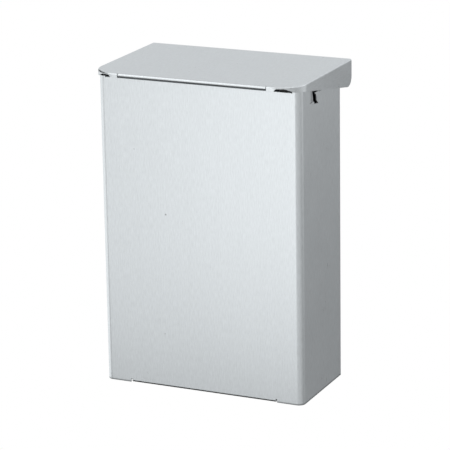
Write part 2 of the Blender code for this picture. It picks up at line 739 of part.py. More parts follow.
def build_lid_ears(steel):
    ears = []
    start = ear_inner_x()
    top_z = LID_UNDER_Z - SEAT
    for side, label in ((-1, "left"), (1, "right")):
        name = f"lid_ear_{label}"
        ear = make_object(name, prism_mesh(name, ear_outline(), along_x, side * start, side * (start + EAR_SHEET)),
                          steel)
        foot = [(side * start, AXIS_Y - EAR_LENGTH / 2), (side * (start + EAR_FOOT_WIDTH), AXIS_Y - EAR_LENGTH / 2),
                (side * (start + EAR_FOOT_WIDTH), AXIS_Y + EAR_LENGTH / 2), (side * start, AXIS_Y + EAR_LENGTH / 2)]
        foot_mesh = prism_mesh(f"{name}_foot", foot, along_z, top_z - EAR_SHEET, top_z)
        add_boolean(ear, make_object(f"{name}_foot", foot_mesh, steel), "UNION")
        bore = prism_mesh(f"{name}_bore", circle_outline((AXIS_Y, AXIS_Z), ROD_RADIUS + SEAT), along_x,
                          side * (start - EAR_SHEET), side * (start + 2 * EAR_SHEET))
        add_boolean(ear, make_object(f"{name}_bore", bore, steel), "DIFFERENCE")
        ears.append(ear)
    return ears


# ---------------------------------------------------------------------------------------------- lid


def flange_bottom(y):
    """Height of the straight line that the lid's side flanges are cut to."""
    share = (y - LID_FRONT_Y) / (LID_BACK_Y - LID_FRONT_Y)
    return LID_TOP_Z - FLANGE_FRONT_DEPTH - (FLANGE_BACK_DEPTH - FLANGE_FRONT_DEPTH) * share


def flange_columns():
    """Plan points of the left flange's outer surface, from the rear edge to the front hem's relief.

    Each entry is (x, y, inward x, inward y, height of the flange's lower edge).
    """
    slope = math.atan((FLANGE_BACK_DEPTH - FLANGE_FRONT_DEPTH) / (LID_BACK_Y - LID_FRONT_Y))
    r = FLANGE_CORNER_RADIUS
    hub_y = LID_BACK_Y - r
    hub_z = flange_bottom(hub_y) + r / math.cos(slope)
    columns = []
    for k in range(BEND_STEPS + 1):
        a = math.pi / 2 - (math.pi / 2 + slope) * k / BEND_STEPS
        columns.append((-LID_HALF_WIDTH, hub_y + r * math.sin(a), 1, 0, hub_z - r * math.cos(a)))
    for k in range(CORNER_STEPS + 1):
        a = math.pi * (1 + k / (2 * CORNER_STEPS))
        x = -LID_HALF_WIDTH + LID_CORNER_RADIUS * (1 + math.cos(a))
        y = LID_FRONT_Y + LID_CORNER_RADIUS * (1 + math.sin(a))
        columns.append((x, y, -math.cos(a), -math.sin(a), flange_bottom(y)))
    last_x = -(LID_HEM_HALF_LENGTH + HEM_RELIEF_WIDTH)
    if last_x - columns[-1][0] > SEAT:
        columns.append((last_x, LID_FRONT_Y, 0, 1, flange_bottom(LID_FRONT_Y)))
    return columns


def lid_faces():
    """Lid's outer surface: the flat top, the bent side flanges that run round the front corners, and the front hem."""
    left = flange_columns()
    right = [(-x, y, -nx, ny, z) for x, y, nx, ny, z in reversed(left)]
    r = LID_BEND_RADIUS
    turns = [math.pi / 2 * k / BEND_STEPS for k in range(BEND_STEPS + 1)]
    bend = [(r - r * math.sin(t), r - r * math.cos(t)) for t in turns]
    faces = []
    for columns in (left, right):
        for a, b in zip(columns, columns[1:]):
            for (inset, drop), (next_inset, next_drop) in zip(bend, bend[1:]):
                upper = [(p[0] + p[2] * inset, p[1] + p[3] * inset, LID_TOP_Z - drop) for p in (a, b)]
                lower = [(p[0] + p[2] * next_inset, p[1] + p[3] * next_inset, LID_TOP_Z - next_drop) for p in (a, b)]
                faces.append([upper[0], lower[0], lower[1], upper[1]])
            faces.append([(a[0], a[1], LID_TOP_Z - r), (a[0], a[1], a[4]), (b[0], b[1], b[4]),
                          (b[0], b[1], LID_TOP_Z - r)])
    hem_edge_y = LID_FRONT_Y + LID_HEM_RADIUS
    hem_half = LID_HEM_HALF_LENGTH
    plate = [(p[0] + p[2] * r, p[1] + p[3] * r, LID_TOP_Z) for p in left]
    plate += [(-hem_half, hem_edge_y, LID_TOP_Z), (hem_half, hem_edge_y, LID_TOP_Z)]
    plate += [(p[0] + p[2] * r, p[1] + p[3] * r, LID_TOP_Z) for p in right]
    faces.append(plate)
    nose = [math.pi * k / (2 * BEND_STEPS) for k in range(2 * BEND_STEPS + 1)]
    rows = [(hem_edge_y - LID_HEM_RADIUS * math.sin(t), LID_TOP_Z - LID_HEM_RADIUS * (1 - math.cos(t))) for t in nose]
    rows.append((hem_edge_y + LID_HEM_DEPTH, rows[-1][1]))
    for (y, z), (next_y, next_z) in zip(rows, rows[1:]):
        faces.append([(-hem_half, y, z), (-hem_half, next_y, next_z), (hem_half, next_y, next_z), (hem_half, y, z)])
    return faces


def build_lid_panel(steel):
    panel = make_object("lid_panel", sheet_mesh("lid_panel", lid_faces()), steel)
    add_solidify(panel, SHEET)
    return panel


def build_lid_bumpers(rubber):
    """Soft studs under the lid's front that land on the rim."""
    high, low = LID_UNDER_Z - SEAT, RIM_Z + SEAT
    edge = BUMPER_RADIUS / 4
    profile = [(high, 0), (high, BUMPER_RADIUS), (low + edge, BUMPER_RADIUS), (low, BUMPER_RADIUS - edge), (low, 0)]
    centre_y = FRONT_Y + RIM_HEM_RADIUS
    bumpers = []
    for side, label in ((-1, "left"), (1, "right")):

        def place(along, u, v, x=side * BUMPER_POSITION):
            return (x + u, centre_y + v, along)

        bumpers.append(make_object(f"lid_bumper_{label}", turned_mesh("lid_bumper", profile, place), rubber))
    return bumpers


def main():
    clear_scene()
    steel = make_material("brushed stainless", (0.62, 0.64, 0.65), 0.34, 1.0)
    bright = make_material("plain stainless", (0.56, 0.57, 0.58), 0.28, 1.0)
    rubber = make_material("black rubber", (0.03, 0.03, 0.03), 0.8, 0.0)
    plastic = make_material("white nylon", (0.82, 0.81, 0.77), 0.5, 0.0)

    lift = make_empty("container_lift", (0, 0, 0))
    hinge = make_empty("lid_hinge", (0, AXIS_Y, AXIS_Z))
    bpy.context.view_layer.update()

    build_wall_bracket(bright)
    container = [build_container_shell(steel), build_rear_panel(steel), build_floor_pan(steel)]
    container += [build_hanging_rail(bright), build_rear_spacer(bright)]
    container += build_spacer_pads(rubber) + build_hinge_lugs(bright) + build_bushes(plastic)
    attach(container, lift)
    lid = [build_lid_panel(steel), build_hinge_rod(bright)]
    lid += build_lid_ears(bright) + build_push_nuts(bright) + build_lid_bumpers(rubber)
    attach(lid, hinge)
    hinge.parent = lift


main()
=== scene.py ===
"""Looks of a wall-hung waste bin: folded, brushed stainless sheet, a flap lid on a rod and a hook bracket.

The frame gives each piece its place. The sheet pieces are worked out again here as finely bent sheets whose
grain follows the flat blank that each was folded from, and the turned and bent fittings get round edges.
Metres, +Z up, -Y to the user.
"""

import math

import bmesh
import bpy
import numpy as np
from mathutils import Matrix, Vector


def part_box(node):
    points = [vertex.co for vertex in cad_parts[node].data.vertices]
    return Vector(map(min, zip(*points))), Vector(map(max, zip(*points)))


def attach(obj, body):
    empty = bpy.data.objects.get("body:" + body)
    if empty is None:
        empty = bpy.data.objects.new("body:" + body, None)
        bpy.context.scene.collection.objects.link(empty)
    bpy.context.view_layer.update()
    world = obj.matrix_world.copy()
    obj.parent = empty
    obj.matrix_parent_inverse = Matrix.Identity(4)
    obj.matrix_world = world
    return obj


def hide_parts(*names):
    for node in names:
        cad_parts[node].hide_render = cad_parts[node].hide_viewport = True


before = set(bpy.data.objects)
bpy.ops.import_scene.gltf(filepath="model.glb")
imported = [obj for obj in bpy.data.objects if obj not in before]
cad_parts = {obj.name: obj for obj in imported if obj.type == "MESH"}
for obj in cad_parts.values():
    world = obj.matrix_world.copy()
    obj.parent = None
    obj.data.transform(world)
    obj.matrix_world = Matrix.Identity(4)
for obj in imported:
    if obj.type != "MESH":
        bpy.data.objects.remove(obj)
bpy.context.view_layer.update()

# ------------ sizes and places

# Thickness of the bin's sheet, and the play round the hinge rod and inside a flattened hem.
SHEET = 0.0012
SEAT = 0.0003

SHELL_LOW, SHELL_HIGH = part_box("container_shell")
HALF_WIDTH = SHELL_HIGH.x
FRONT_Y = SHELL_LOW.y
BACK_Y = SHELL_HIGH.y
BOTTOM_Z = SHELL_LOW.z
RIM_Z = SHELL_HIGH.z
PANEL_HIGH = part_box("rear_panel")[1]
REAR_RIM_Z = PANEL_HIGH.z
LID_LOW, LID_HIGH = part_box("lid_panel")
LID_HALF = LID_HIGH.x
LID_FRONT_Y = LID_LOW.y
LID_BACK_Y = LID_HIGH.y
LID_TOP_Z = LID_HIGH.z
ROD_LOW, ROD_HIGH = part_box("hinge_rod")
ROD_RADIUS = (ROD_HIGH.z - ROD_LOW.z) / 2
ROD_BORE = ROD_RADIUS + SEAT

# Container: its bends, the hem along the rim and the fold under the front. A relief cut parts a fold or a hem
# from the sheet beside it.
FRONT_BEND = 0.0065
EDGE_BEND = 0.0022
RETURN_WIDTH = 0.012
RIM_HEM_RADIUS = SHEET + SEAT / 2
RIM_HEM_DEPTH = 0.009
RIM_HEM_MARGIN = 0.0015
HEM_RELIEF = 0.0007
FOLD_HALF_LENGTH = 0.07525
FOLD_DEPTH = 0.012
FOLD_RELIEF_WIDTH = 0.0015
FOLD_RELIEF_DEPTH = 0.0012
FOOT_Z = BOTTOM_Z + EDGE_BEND
FOLD_RELIEF_Z = FOOT_Z + FOLD_RELIEF_DEPTH

# Bag notch in each side, from front to back: a tab bent inwards along BEND_Y, an open slot behind it, and the
# rounded nose of the sheet that follows. A slit runs on from the slot's foot, from the heel to the toe.
NOTCH_START = 0.0223
TAB_DROP = 0.0148
TAB_TOP_WIDTH = 0.0060
TAB_FOOT_WIDTH = 0.0098
TAB_ANGLE = math.radians(6)
TAB_CUT = 0.0004
SLOT_LENGTH = 0.0058
SLOT_DROP = 0.0172
NOSE_RADIUS = 0.0078
NOSE_DROP = 0.0065
HEEL_HEIGHT = 0.0022
TOE_LENGTH = 0.0038
TOE_HEIGHT = 0.0006
TOE_FALL = 0.0015
BEND_Y = FRONT_Y + NOTCH_START
SLOT_Y = BEND_Y + TAB_FOOT_WIDTH
HEEL_Y = SLOT_Y + SLOT_LENGTH
TOE_Y = HEEL_Y + TOE_LENGTH
TAB_Z = RIM_Z - TAB_DROP
SLOT_Z = RIM_Z - SLOT_DROP
TOE_Z = SLOT_Z - TOE_FALL
NOSE_Z = REAR_RIM_Z - NOSE_DROP
SIDE_HEM_START = TOE_Y + 2 * RIM_HEM_MARGIN
SIDE_HEM_END = BACK_Y - EDGE_BEND - RIM_HEM_MARGIN
FRONT_HEM_END = HALF_WIDTH - FRONT_BEND - RIM_HEM_MARGIN

# Lid: its bends, the hem rolled under its front edge, and its flanges. Round a front corner the flange's edge
# lies CORNER_CUT_DEPTHS below the lid's top, at CORNER_CUT_ANGLES counted from the front to the side.
LID_BEND = 0.0018
LID_CORNER = 0.025
LID_HEM_HALF = 0.0747
LID_HEM_RADIUS = 0.0019
LID_HEM_DEPTH = 0.008
FLANGE_FRONT_DEPTH = 0.0034
FLANGE_BACK_DEPTH = 0.0270
FLANGE_CORNER = 0.0090
CORNER_CUT_ANGLES = np.radians([0, 8, 10, 30, 50, 64, 80])
CORNER_CUT_DEPTHS = np.array([0.0042, 0.0042, 0.0019, 0.0020, 0.0055, 0.0065, 0.0072])

# Fittings: the bent strips' sheet, the bracket's hook and screw slots, the spacer's crown, the bushes' walls.
HARDWARE_SHEET = 0.0020
HARDWARE_BEND = 0.0012
HOOK_HEIGHT = 0.020
HOOK_OVERLAP = 0.0135
SCREW_SLOT_WIDTH = 0.0055
SCREW_SLOT_LENGTH = 0.014
SCREW_SLOT_MARGIN = 0.0022
SCREW_SLOT_INSET = 0.025
SCREW_SLOT_RISE = 0.006
SPACER_CROWN = 0.020
SLEEVE_WALL = 0.0008
COLLAR_THICKNESS = 0.0014

# How far the rounding of an edge reaches, and the most of a side that it may take.
ROD_EASE = 0.0002
BUSH_EASE = 0.00025
NUT_EASE = 0.00012
RUBBER_EASE = 0.0006
BENT_EASE = 0.0002
EASE_SHARE = 0.45

# How finely curves and walls are divided. FOLD_ROWS is the number of rows that a fold adds to a wall.
BEND_STEPS = 12
FOLD_ROWS = BEND_STEPS + 1
CORNER_STEPS = 28
FLANGE_STEPS = 5
LID_HEM_STEPS = 4
TURN_STEPS = 48
EASE_STEPS = 4
WALL_ROWS = 3
NOSE_ROWS = 7
PANEL_ROWS = 5
WINDOW_COLUMNS = 7
WINDOW_ROWS = 13

# Points in one cell of a grid of WELD are one point, and WELD_SHIFT keeps round sizes off the grid's borders.
# Edges sharper than SHARP_ANGLE stay sharp, a bevel rounds those sharper than BEVEL_ANGLE, and faces that
# meet within FLAT_ANGLE are joined.
WELD = 1e-6
WELD_SHIFT = 0.37
SHARP_ANGLE = math.radians(35)
BEVEL_ANGLE = math.radians(40)
FLAT_ANGLE = math.radians(1)


# ------------ sheets


def unit(vectors):
    """Each vector divided by its own length."""
    return vectors / np.linalg.norm(vectors, axis=-1, keepdims=True)


def stack(*parts):
    """Spreads numbers and arrays to one shape and puts them side by side as a last axis."""
    return np.stack(np.broadcast_arrays(*parts), axis=-1).astype(float)


def uncut(points):
    """Cells of a grid of points from which nothing is cut: all of them are metal."""
    return np.ones((points.shape[0] - 1, points.shape[1] - 1), dtype=bool)


def placed(name, data):
    """A new object of the scene for a mesh, a lamp or the camera."""
    item = bpy.data.objects.new(name, data)
    bpy.context.scene.collection.objects.link(item)
    return item


def mesh_of(name, points, faces, *materials):
    """A new mesh of points, in an array of any shape, and of faces that number the points in order."""
    mesh = bpy.data.meshes.new(name)
    mesh.from_pydata(points.reshape(-1, 3).tolist(), [], faces)
    for material in materials:
        mesh.materials.append(material)
    return mesh


def cells_of(points, normals, keep, start):
    """Quads of one grid of points, as numbers counted from start, wound so that they face along the normals.

    Cell (i, j) joins points (i, j), (i+1, j), (i+1, j+1) and (i, j+1). It is turned over where the cross
    product of its diagonals points against the mean of its corners' normals. keep says which cells are metal.
    """
    rows, columns = points.shape[:2]
    i, j = np.mgrid[0:rows - 1, 0:columns - 1]
    first = i * columns + j
    quads = np.stack([first, first + columns, first + columns + 1, first + 1], axis=-1)[keep]
    flat = points.reshape(-1, 3)
    one, other = flat[quads[:, 2]] - flat[quads[:, 0]], flat[quads[:, 3]] - flat[quads[:, 1]]
    facing = normals.reshape(-1, 3)[quads].mean(axis=1)
    wrong = (np.cross(one, other) * facing).sum(axis=1) < 0
    quads[wrong] = quads[wrong][:, ::-1]
    return quads + start


def joined_grids(patches):
    """Points, normals, blank places and quads of all patches, without the points that no quad uses."""
    points, normals = (np.concatenate([patch[k].reshape(-1, 3) for patch in patches]) for k in (0, 1))
    blank = np.concatenate([patch[2].reshape(-1, 2) for patch in patches])
    starts = np.cumsum([0] + [patch[0][..., 0].size for patch in patches])
    quads = np.concatenate([cells_of(*patch[:2], patch[3], start) for patch, start in zip(patches, starts)])
    used, quads = np.unique(quads, return_inverse=True)
    return points[used], normals[used], blank[used], quads.reshape(-1, 4)


def sides_of(quads):
    """The two ends of every quad's sides: all first sides, then all second ones, and so on."""
    return np.concatenate([quads[:, [k, (k + 1) % 4]] for k in range(4)])


def sheet_piece(name, patches, thickness, face, edge):
    """A closed sheet of steel from grids of its outer side.

    Each patch is (points, normals, blank, keep). The inner side is each point moved back by the thickness
    along the mean normal there. A side that only one quad uses is a cut edge, which a strip across the
    thickness closes. blank is each point's place in the flat sheet, and becomes the UV map in metres.
    """
    points, normals, blank, raw = joined_grids(patches)
    key = np.floor(points / WELD + WELD_SHIFT).astype(np.int64)
    _, first, joined = np.unique(key, axis=0, return_index=True, return_inverse=True)
    joined = joined.reshape(-1)
    shared = np.zeros((len(first), 3))
    np.add.at(shared, joined, normals)
    outer = points[first]
    count = len(outer)
    coords = np.concatenate([outer, outer - thickness * unit(shared)])
    quads = joined[raw]

    ends, raw_ends = sides_of(quads), sides_of(raw)
    _, place, uses = np.unique(np.sort(ends, axis=1), axis=0, return_inverse=True, return_counts=True)
    cut = uses[place.reshape(-1)] == 1
    ends, raw_ends = ends[cut], raw_ends[cut]
    strips = np.stack([ends[:, 1], ends[:, 0], ends[:, 0] + count, ends[:, 1] + count], axis=1)
    faces = np.concatenate([quads, quads[:, ::-1] + count, strips])

    corner = coords[strips]
    across = np.cross(corner[:, 1] - corner[:, 0], corner[:, 2] - corner[:, 1])
    strip_normals = np.repeat(unit(across)[:, None, :], 4, axis=1)
    corner_normals = np.concatenate([normals[raw], -normals[raw][:, ::-1], strip_normals])
    deeper = np.array([[0, 0], [0, 0], [thickness, 0], [thickness, 0]])
    strip_blank = blank[raw_ends[:, [1, 0, 0, 1]]] + deeper
    corner_blank = np.concatenate([blank[raw], blank[raw][:, ::-1], strip_blank])

    mesh = mesh_of(name, coords, faces.tolist(), face, edge)
    slots = np.zeros(len(faces), dtype=np.int32)
    slots[2 * len(quads):] = 1
    mesh.polygons.foreach_set("material_index", slots)
    mesh.uv_layers.new(name="blank").data.foreach_set("uv", corner_blank.reshape(-1))
    mesh.shade_smooth()
    mesh.normals_split_custom_set(corner_normals.reshape(-1, 3).tolist())
    return placed(name, mesh)


def round_bend(sweep, radius, run):
    """(inset, travel, tilt, length) along a fold that turns through sweep and then runs straight on.

    At angle t the fold has moved inwards by radius * (1 - cos t) and on by radius * sin t. Its outer side
    then looks along t, and radius * t of the blank is used up.
    """
    t = np.linspace(0, sweep, BEND_STEPS + 1)
    inset = radius * (1 - np.cos(t))
    travel = radius * np.sin(t)
    inset = np.append(inset, inset[-1] + run * math.sin(sweep))
    travel = np.append(travel, travel[-1] + run * math.cos(sweep))
    length = np.append(radius * t, radius * sweep + run)
    return inset, travel, np.append(t, sweep), length


def foot_fold(depth):
    """A quarter turn inwards under the foot, up to this depth, and how far the foot reaches without it."""
    return (*round_bend(math.pi / 2, EDGE_BEND, depth - EDGE_BEND), EDGE_BEND)


def rim_hem():
    """Half a turn into the container and down again, and how far the rim reaches up without it."""
    return (*round_bend(math.pi, RIM_HEM_RADIUS, RIM_HEM_DEPTH - RIM_HEM_RADIUS), RIM_HEM_RADIUS)


def mirrored(left):
    """A left half from the rear to the middle, followed by its mirror image in x."""
    right = left[::-1].copy()
    right[:, 0] *= -1
    right[:, 2] *= -1
    return np.concatenate([left, right])


def arc_lines(centre, radius, start, end, steps):
    """Lines of a bend in plan: (x, y, outward x, outward y), at centre + radius * (cos a, sin a)."""
    a = np.linspace(start, end, steps + 1)
    return stack(centre[0] + radius * np.cos(a), centre[1] + radius * np.sin(a), np.cos(a), np.sin(a))


def between(values, low, high):
    """True where values lie from low to high, ends included with a little to spare."""
    return (values > low - WELD) & (values < high + WELD)


def both_ends(flags):
    """True for a strip between two neighbouring lines when both of its lines are flagged."""
    return flags[:-1] & flags[1:]


def rows_of(lines, heights, foot, hem, fold_below, fold_above):
    """Points, normals and blank places of a folded band: upright lines through a foot, a wall and a rim.

    heights is (rows, lines), from the foot's level to the hem's level. Where foot is true the sheet goes on
    below its lowest height through fold_below, and where hem is true above its highest height through
    fold_above. Elsewhere it ends straight, as low or as high as the fold would reach.
    """
    x, y, out_x, out_y = lines.T
    across = np.concatenate([[0], np.cumsum(np.hypot(np.diff(x), np.diff(y)))])
    across = across - across[-1] / 2

    def fold_rows(fold, level, folded, sense):
        """Inset, height, tilt and blank height of the rows past the wall, from the wall outwards."""
        *curve, straight = fold
        inset, travel, tilt, length = (part[1:, None] for part in curve)
        height = level + sense * np.where(folded, travel, straight)
        blank_height = level + sense * np.where(folded, length, straight)
        return np.where(folded, inset, 0.0), height, sense * np.where(folded, tilt, 0.0), blank_height

    wall = (0 * heights, heights, 0 * heights, heights)
    below = fold_rows(fold_below, heights[0], foot, -1)
    above = fold_rows(fold_above, heights[-1], hem, 1)
    joined = (np.concatenate([low[::-1], middle, high]) for low, middle, high in zip(below, wall, above))
    inset, z, tilt, blank_z = joined
    points = stack(x - out_x * inset, y - out_y * inset, z)
    normals = stack(out_x * np.cos(tilt), out_y * np.cos(tilt), np.sin(tilt))
    return points, normals, stack(across + 0 * z, blank_z)


# ------------ container


def shell_lines():
    """Upright lines of the shell from the left rear return round the front to the right one."""
    back = stack(RETURN_WIDTH - HALF_WIDTH, BACK_Y, 0, 1)[None, :]
    hub = (EDGE_BEND - HALF_WIDTH, BACK_Y - EDGE_BEND)
    rear = arc_lines(hub, EDGE_BEND, math.pi / 2, math.pi, BEND_STEPS)
    stops = np.array([SIDE_HEM_END, SIDE_HEM_END - HEM_RELIEF, SIDE_HEM_START + HEM_RELIEF, SIDE_HEM_START,
                      TOE_Y, HEEL_Y, SLOT_Y, BEND_Y])
    side = stack(-HALF_WIDTH, stops, -1, 0)
    hub = (FRONT_BEND - HALF_WIDTH, FRONT_Y + FRONT_BEND)
    bend = arc_lines(hub, FRONT_BEND, math.pi, 1.5 * math.pi, 2 * BEND_STEPS)
    stops = -np.array([FRONT_HEM_END, FRONT_HEM_END - HEM_RELIEF, FOLD_HALF_LENGTH + FOLD_RELIEF_WIDTH,
                       FOLD_HALF_LENGTH, FOLD_HALF_LENGTH / 3])
    front = stack(stops, FRONT_Y, 0, -1)
    return mirrored(np.concatenate([back, rear, side, bend, front]))


def shell_heights(y, heel):
    """Heights of the shell's rows on each line, in three parts: below, at and above the foot of the notch.

    The rows at the notch's foot are the slit's two edges and the two edges of the cut under the tab. Behind
    the slot, where there is no tab, the last two share out the height from the slit to the nose.
    """
    behind_slot = y > SLOT_Y + WELD
    slope = np.clip((y - SLOT_Y) / (TOE_Y - SLOT_Y), 0, 1)
    slit_low = SLOT_Z - TOE_FALL * slope
    slit_high = np.where(behind_slot, TOE_Z + TOE_HEIGHT, SLOT_Z + TAB_CUT)
    slit_high = np.where(heel, SLOT_Z + HEEL_HEIGHT, slit_high)
    under_tab = np.where(behind_slot, slit_high + (NOSE_Z - slit_high) / 3, TAB_Z - TAB_CUT)
    at_tab = np.where(behind_slot, slit_high + (NOSE_Z - slit_high) * 2 / 3, TAB_Z)

    shares = np.arange(1, WALL_ROWS + 1) / (WALL_ROWS + 1)
    wall = FOLD_RELIEF_Z + (TOE_Z - FOLD_RELIEF_Z) * shares
    lower = np.concatenate([[FOOT_Z, FOLD_RELIEF_Z], wall])[:, None] * np.ones_like(y)
    notch = np.stack([slit_low, slit_high, under_tab, at_tab])
    hem_level = np.where(behind_slot, REAR_RIM_Z, RIM_Z) - RIM_HEM_RADIUS
    upper = NOSE_Z + (hem_level - NOSE_Z) * np.linspace(0, 1, NOSE_ROWS)[:, None]
    return lower, notch, upper


def round_nose(points, heel, last_row):
    """Rounds the sheet behind the slot: above the nose's level y is heel - r + sqrt(r^2 - (z - level)^2)."""
    z = points[..., 2]
    arc = HEEL_Y - NOSE_RADIUS + np.sqrt(np.clip(NOSE_RADIUS ** 2 - (z - NOSE_Z) ** 2, 0, None))
    on_nose = heel & (z > NOSE_Z) & (np.arange(len(points))[:, None] <= last_row)
    points[..., 1] = np.where(on_nose, arc, points[..., 1])


def bend_tab(points, normals, side, slot, first_row):
    """Turns the tab's free edge inwards about the bend line. The tab tapers evenly from foot to top."""
    tab = slot & (np.arange(len(points))[:, None] >= first_row)
    share = np.clip((points[..., 2] - TAB_Z) / TAB_DROP, 0, 1)
    width = TAB_FOOT_WIDTH + (TAB_TOP_WIDTH - TAB_FOOT_WIDTH) * share
    points[..., 0] = np.where(tab, side * (HALF_WIDTH - width * math.sin(TAB_ANGLE)), points[..., 0])
    points[..., 1] = np.where(tab, BEND_Y + width * math.cos(TAB_ANGLE), points[..., 1])
    tilted = stack(side * math.cos(TAB_ANGLE), math.sin(TAB_ANGLE), 0)
    normals[:] = np.where(tab[..., None], tilted, normals)


def shell_cuts(x, y, on_front, on_side, slit_row, tab_row, hem_row):
    """Cells that are cut away: reliefs beside fold and hems, the slot, its slit and the cut under the tab."""
    row = np.arange(hem_row + FOLD_ROWS)[:, None]
    mid_x = np.abs(x[:-1] + x[1:]) / 2
    mid_y = (y[:-1] + y[1:]) / 2
    front_cell = both_ends(on_front)
    side_cell = both_ends(on_side)
    fold_relief = front_cell & between(mid_x, FOLD_HALF_LENGTH, FOLD_HALF_LENGTH + FOLD_RELIEF_WIDTH)
    front_relief = front_cell & between(mid_x, FRONT_HEM_END - HEM_RELIEF, FRONT_HEM_END)
    side_relief = side_cell & (between(mid_y, SIDE_HEM_START, SIDE_HEM_START + HEM_RELIEF)
                               | between(mid_y, SIDE_HEM_END - HEM_RELIEF, SIDE_HEM_END))
    tab_cell = side_cell & between(mid_y, BEND_Y, SLOT_Y)
    slot_cell = side_cell & between(mid_y, SLOT_Y, HEEL_Y)
    toe_cell = side_cell & between(mid_y, HEEL_Y, TOE_Y)
    cut = fold_relief & (row <= FOLD_ROWS)
    cut |= (front_relief | side_relief) & (row >= hem_row)
    cut |= tab_cell & (row == tab_row - 1)
    cut |= slot_cell & (row >= slit_row)
    cut |= toe_cell & (row == slit_row)
    return cut


def build_shell(face, edge):
    """Front, sides, returns, folded foot, hemmed rim, bag notches and their bent tabs, all from one blank."""
    lines = shell_lines()
    x, y = lines[:, 0], lines[:, 1]
    on_front = y < FRONT_Y + WELD
    on_side = np.abs(x) > HALF_WIDTH - WELD
    heel = on_side & (np.abs(y - HEEL_Y) < WELD)
    slot = on_side & (np.abs(y - SLOT_Y) < WELD)
    foot = on_front & (np.abs(x) < FOLD_HALF_LENGTH + WELD)
    front_hem = on_front & (np.abs(x) < FRONT_HEM_END - HEM_RELIEF + WELD)
    side_hem = on_side & between(y, SIDE_HEM_START + HEM_RELIEF, SIDE_HEM_END - HEM_RELIEF)
    hem = front_hem | side_hem

    lower, notch, upper = shell_heights(y, heel)
    heights = np.concatenate([lower, notch, upper])
    points, normals, blank = rows_of(lines, heights, foot, hem, foot_fold(FOLD_DEPTH), rim_hem())
    slit_row = FOLD_ROWS + len(lower)
    tab_row = slit_row + len(notch) - 1
    hem_row = FOLD_ROWS + len(heights) - 1
    round_nose(points, heel, hem_row + 1)
    bend_tab(points, normals, np.sign(x), slot, tab_row)

    row = np.arange(len(points) - 1)[:, None]
    keep = both_ends(foot) | (row >= FOLD_ROWS - 1)
    keep &= both_ends(hem) | (row <= hem_row)
    keep &= ~shell_cuts(x, y, on_front, on_side, slit_row, tab_row, hem_row)
    return sheet_piece("shell_sheet", [(points, normals, blank, keep)], SHEET, face, edge)


def build_panel(face, edge):
    """Flat back with a hem folded into the container along its top edge."""
    half = PANEL_HIGH.x
    hem_end = half - RIM_HEM_MARGIN - RETURN_WIDTH
    stops = np.array([hem_end / 3, hem_end, hem_end + HEM_RELIEF, half])
    x = np.concatenate([-stops[::-1], stops])
    lines = stack(x, PANEL_HIGH.y, 0, 1)
    levels = np.linspace(FOOT_Z, REAR_RIM_Z - RIM_HEM_RADIUS, PANEL_ROWS)
    heights = levels[:, None] * np.ones_like(x)
    hem = np.abs(x) < hem_end + WELD
    no_fold = np.zeros_like(hem)
    points, normals, blank = rows_of(lines, heights, no_fold, hem, foot_fold(EDGE_BEND), rim_hem())
    hem_row = FOLD_ROWS + len(heights) - 1
    row = np.arange(len(points) - 1)[:, None]
    mid = np.abs(x[:-1] + x[1:]) / 2
    keep = (row >= FOLD_ROWS - 1) & ((row <= hem_row) | (mid < hem_end))
    keep &= (row < hem_row) | ~between(mid, hem_end, hem_end + HEM_RELIEF)
    return sheet_piece("rear_sheet", [(points, normals, blank, keep)], SHEET, face, edge)


def build_pan(face, edge):
    """Floor tray: a plate without its corners, and a flange turned up along each edge.

    Flange: plate edge + outward * r sin t, up by r (1 - cos t), then straight up to the flange's height.
    """
    low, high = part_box("floor_pan")
    cut = FRONT_BEND + FOLD_RELIEF_WIDTH
    centre = np.array([(low.x + high.x) / 2, (low.y + high.y) / 2])
    half = np.array([high.x - low.x, high.y - low.y]) / 2
    stops = np.stack([EDGE_BEND - half, cut - half, half - cut, half - EDGE_BEND]) + centre
    plate = stack(stops[:, 0][None, :], stops[:, 1][:, None], low.z)
    down = stack(0 * plate[..., 0], 0.0, -1.0)
    corner = np.array([True, False, True])
    patches = [(plate, down, plate[..., :2], ~(corner[:, None] & corner))]
    inset, travel, tilt, run = round_bend(math.pi / 2, EDGE_BEND, high.z - low.z - EDGE_BEND)
    for out in np.array([[0.0, -1.0], [1.0, 0.0], [0.0, 1.0], [-1.0, 0.0]]):
        aside = np.array([-out[1], out[0]])
        ends = centre + out * (half - EDGE_BEND) + np.array([[-1.0], [1.0]]) * aside * (half - cut)
        plan = ends + travel[:, None, None] * out
        points = stack(plan[..., 0], plan[..., 1], low.z + inset[:, None])
        rise = tilt[:, None] + np.zeros(2)
        normals = stack(out[0] * np.sin(rise), out[1] * np.sin(rise), -np.cos(rise))
        patches.append((points, normals, ends + run[:, None, None] * out, uncut(points)))
    return sheet_piece("pan_sheet", patches, SHEET, face, edge)


# ------------ lid


def flange_bottom(y):
    """Height of the line that the side flanges are cut to: it falls evenly from the front to the back."""
    share = (y - LID_FRONT_Y) / (LID_BACK_Y - LID_FRONT_Y)
    return LID_TOP_Z - FLANGE_FRONT_DEPTH - (FLANGE_BACK_DEPTH - FLANGE_FRONT_DEPTH) * share


